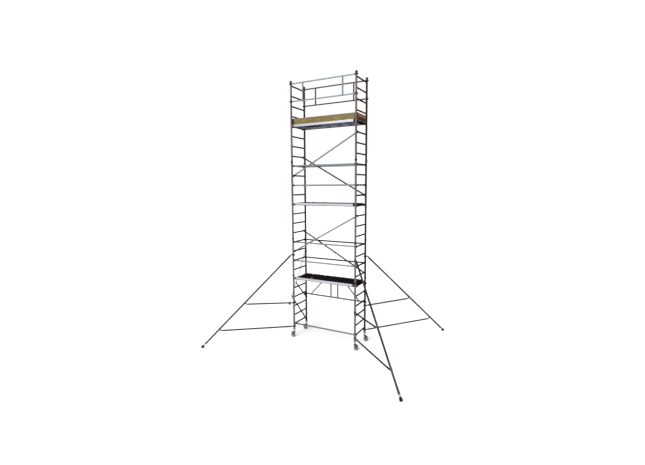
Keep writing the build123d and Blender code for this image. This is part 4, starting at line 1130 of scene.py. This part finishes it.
for corner, (side, way) in CORNERS.items():
    heading = Matrix.Rotation(math.atan2(way, side), 4, "Z")
    place = shift(side * HALF_LENGTH, way * HALF_WIDTH, 0) @ heading
    upper, lower = f"stabiliser_{corner}", f"stabiliser_foot_{corner}"
    leg_alloy, collar_metal, inner_metal = stabiliser_alloy, castor_steel, leg_steel
    # The back-left leg, its twist collar and its inner leg carry a painted highlight of near-white alloy.
    if corner == HIGHLIT_LEG:
        leg_alloy = collar_metal = inner_metal = highlit_alloy
    for name, shape, finish, body, stands_for in (
        ("stabiliser_leg", outer_leg, leg_alloy, upper, [upper]),
        ("stabiliser_struts", struts, stabiliser_alloy, upper, []),
        ("stabiliser_castings", castings, cast_black, upper, []),
        ("leg_couplers", couplers, castor_steel, upper, []),
        ("stabiliser_bolts", bolts, hinge_zinc, upper, []),
        ("twist_collar", twist, collar_metal, upper, []),
        ("inner_leg", inner, inner_metal, lower, [lower]),
        ("rubber_foot", pad, foot_rubber, lower, []),
    ):
        slot = "foot_rubber" if shape is pad else "stabiliser_alloy"
        finish_piece(f"{name}_{corner}", placed(shape, place), finish, body, stands_for)

# ---- Floor, lights and camera ----
# A pale floor under even studio light, with a soft key light from the front and a weaker fill from above. The
# backdrop looks brighter than the light that it gives.

FLOOR_HALF = 60.0
SKY_LIGHT = 0.5
SKY_SEEN = 1.05
FLOOR_GLOW = 0.28
SUN_SPREAD = math.radians(25)
SUNS = {"key": (2.2, (0.1, 0.9, -0.45)), "fill": (0.6, (-0.2, 0.2, -1.0))}

floor_paint, place = new_finish("floor_paint")
shade = place.noise(0.4, 3.0)
set_shader(
    floor_paint, place, Base_Color=shade.mix((0.97, 0.97, 0.97), (0.98, 0.98, 0.98)), Roughness=0.9,
    Emission_Color=(1, 1, 1, 1), Emission_Strength=FLOOR_GLOW,
)
ground = bmesh.new()
bmesh.ops.create_grid(ground, x_segments=4, y_segments=4, size=FLOOR_HALF)
floor_mesh = bpy.data.meshes.new("floor")
ground.to_mesh(floor_mesh)
floor_mesh.materials.append(floor_paint)
floor = bpy.data.objects.new("floor", floor_mesh)
bpy.context.scene.collection.objects.link(floor)
floor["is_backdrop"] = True

world = bpy.data.worlds.new("studio")
world.use_nodes = True
bpy.context.scene.world = world
sky = world.node_tree.nodes["Background"]
sky.inputs["Color"].default_value = (1, 1, 1, 1)
seen = Wire(world.node_tree).node("LightPath", {}, {})
world.node_tree.links.new((seen * (SKY_SEEN - SKY_LIGHT) + SKY_LIGHT).socket, sky.inputs["Strength"])
bpy.context.scene.view_settings.view_transform = "Standard"

for name, (strength, direction) in SUNS.items():
    sun = bpy.data.lights.new(name, "SUN")
    sun.energy = strength
    sun.angle = SUN_SPREAD
    lamp = bpy.data.objects.new(name, sun)
    lamp.rotation_mode = "QUATERNION"
    lamp.rotation_quaternion = Vector(direction).to_track_quat("-Z", "Y")
    bpy.context.scene.collection.objects.link(lamp)

CAMERA_PLACE = (4.526, -8.713, 4.097)
CAMERA_YAW = math.radians(-28.397)
CAMERA_PITCH = math.radians(-6.936)
CAMERA_ROLL = math.radians(-0.285)

camera_data = bpy.data.cameras.new("camera")
camera_data.sensor_width = 36.0
camera_data.lens = 21.10
camera_data.clip_end = 300.0
camera = bpy.data.objects.new("camera", camera_data)
ahead = Vector((math.sin(CAMERA_YAW), math.cos(CAMERA_YAW), 0)) * math.cos(CAMERA_PITCH)
forward = ahead + Vector((0, 0, math.sin(CAMERA_PITCH)))
level = Vector((math.cos(CAMERA_YAW), -math.sin(CAMERA_YAW), 0))
right = math.cos(CAMERA_ROLL) * level + math.sin(CAMERA_ROLL) * level.cross(forward)
camera.matrix_world = Matrix.Translation(CAMERA_PLACE) @ turned_to(right, right.cross(forward), -forward)
bpy.context.scene.collection.objects.link(camera)
bpy.context.scene.camera = camera

low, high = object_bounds()
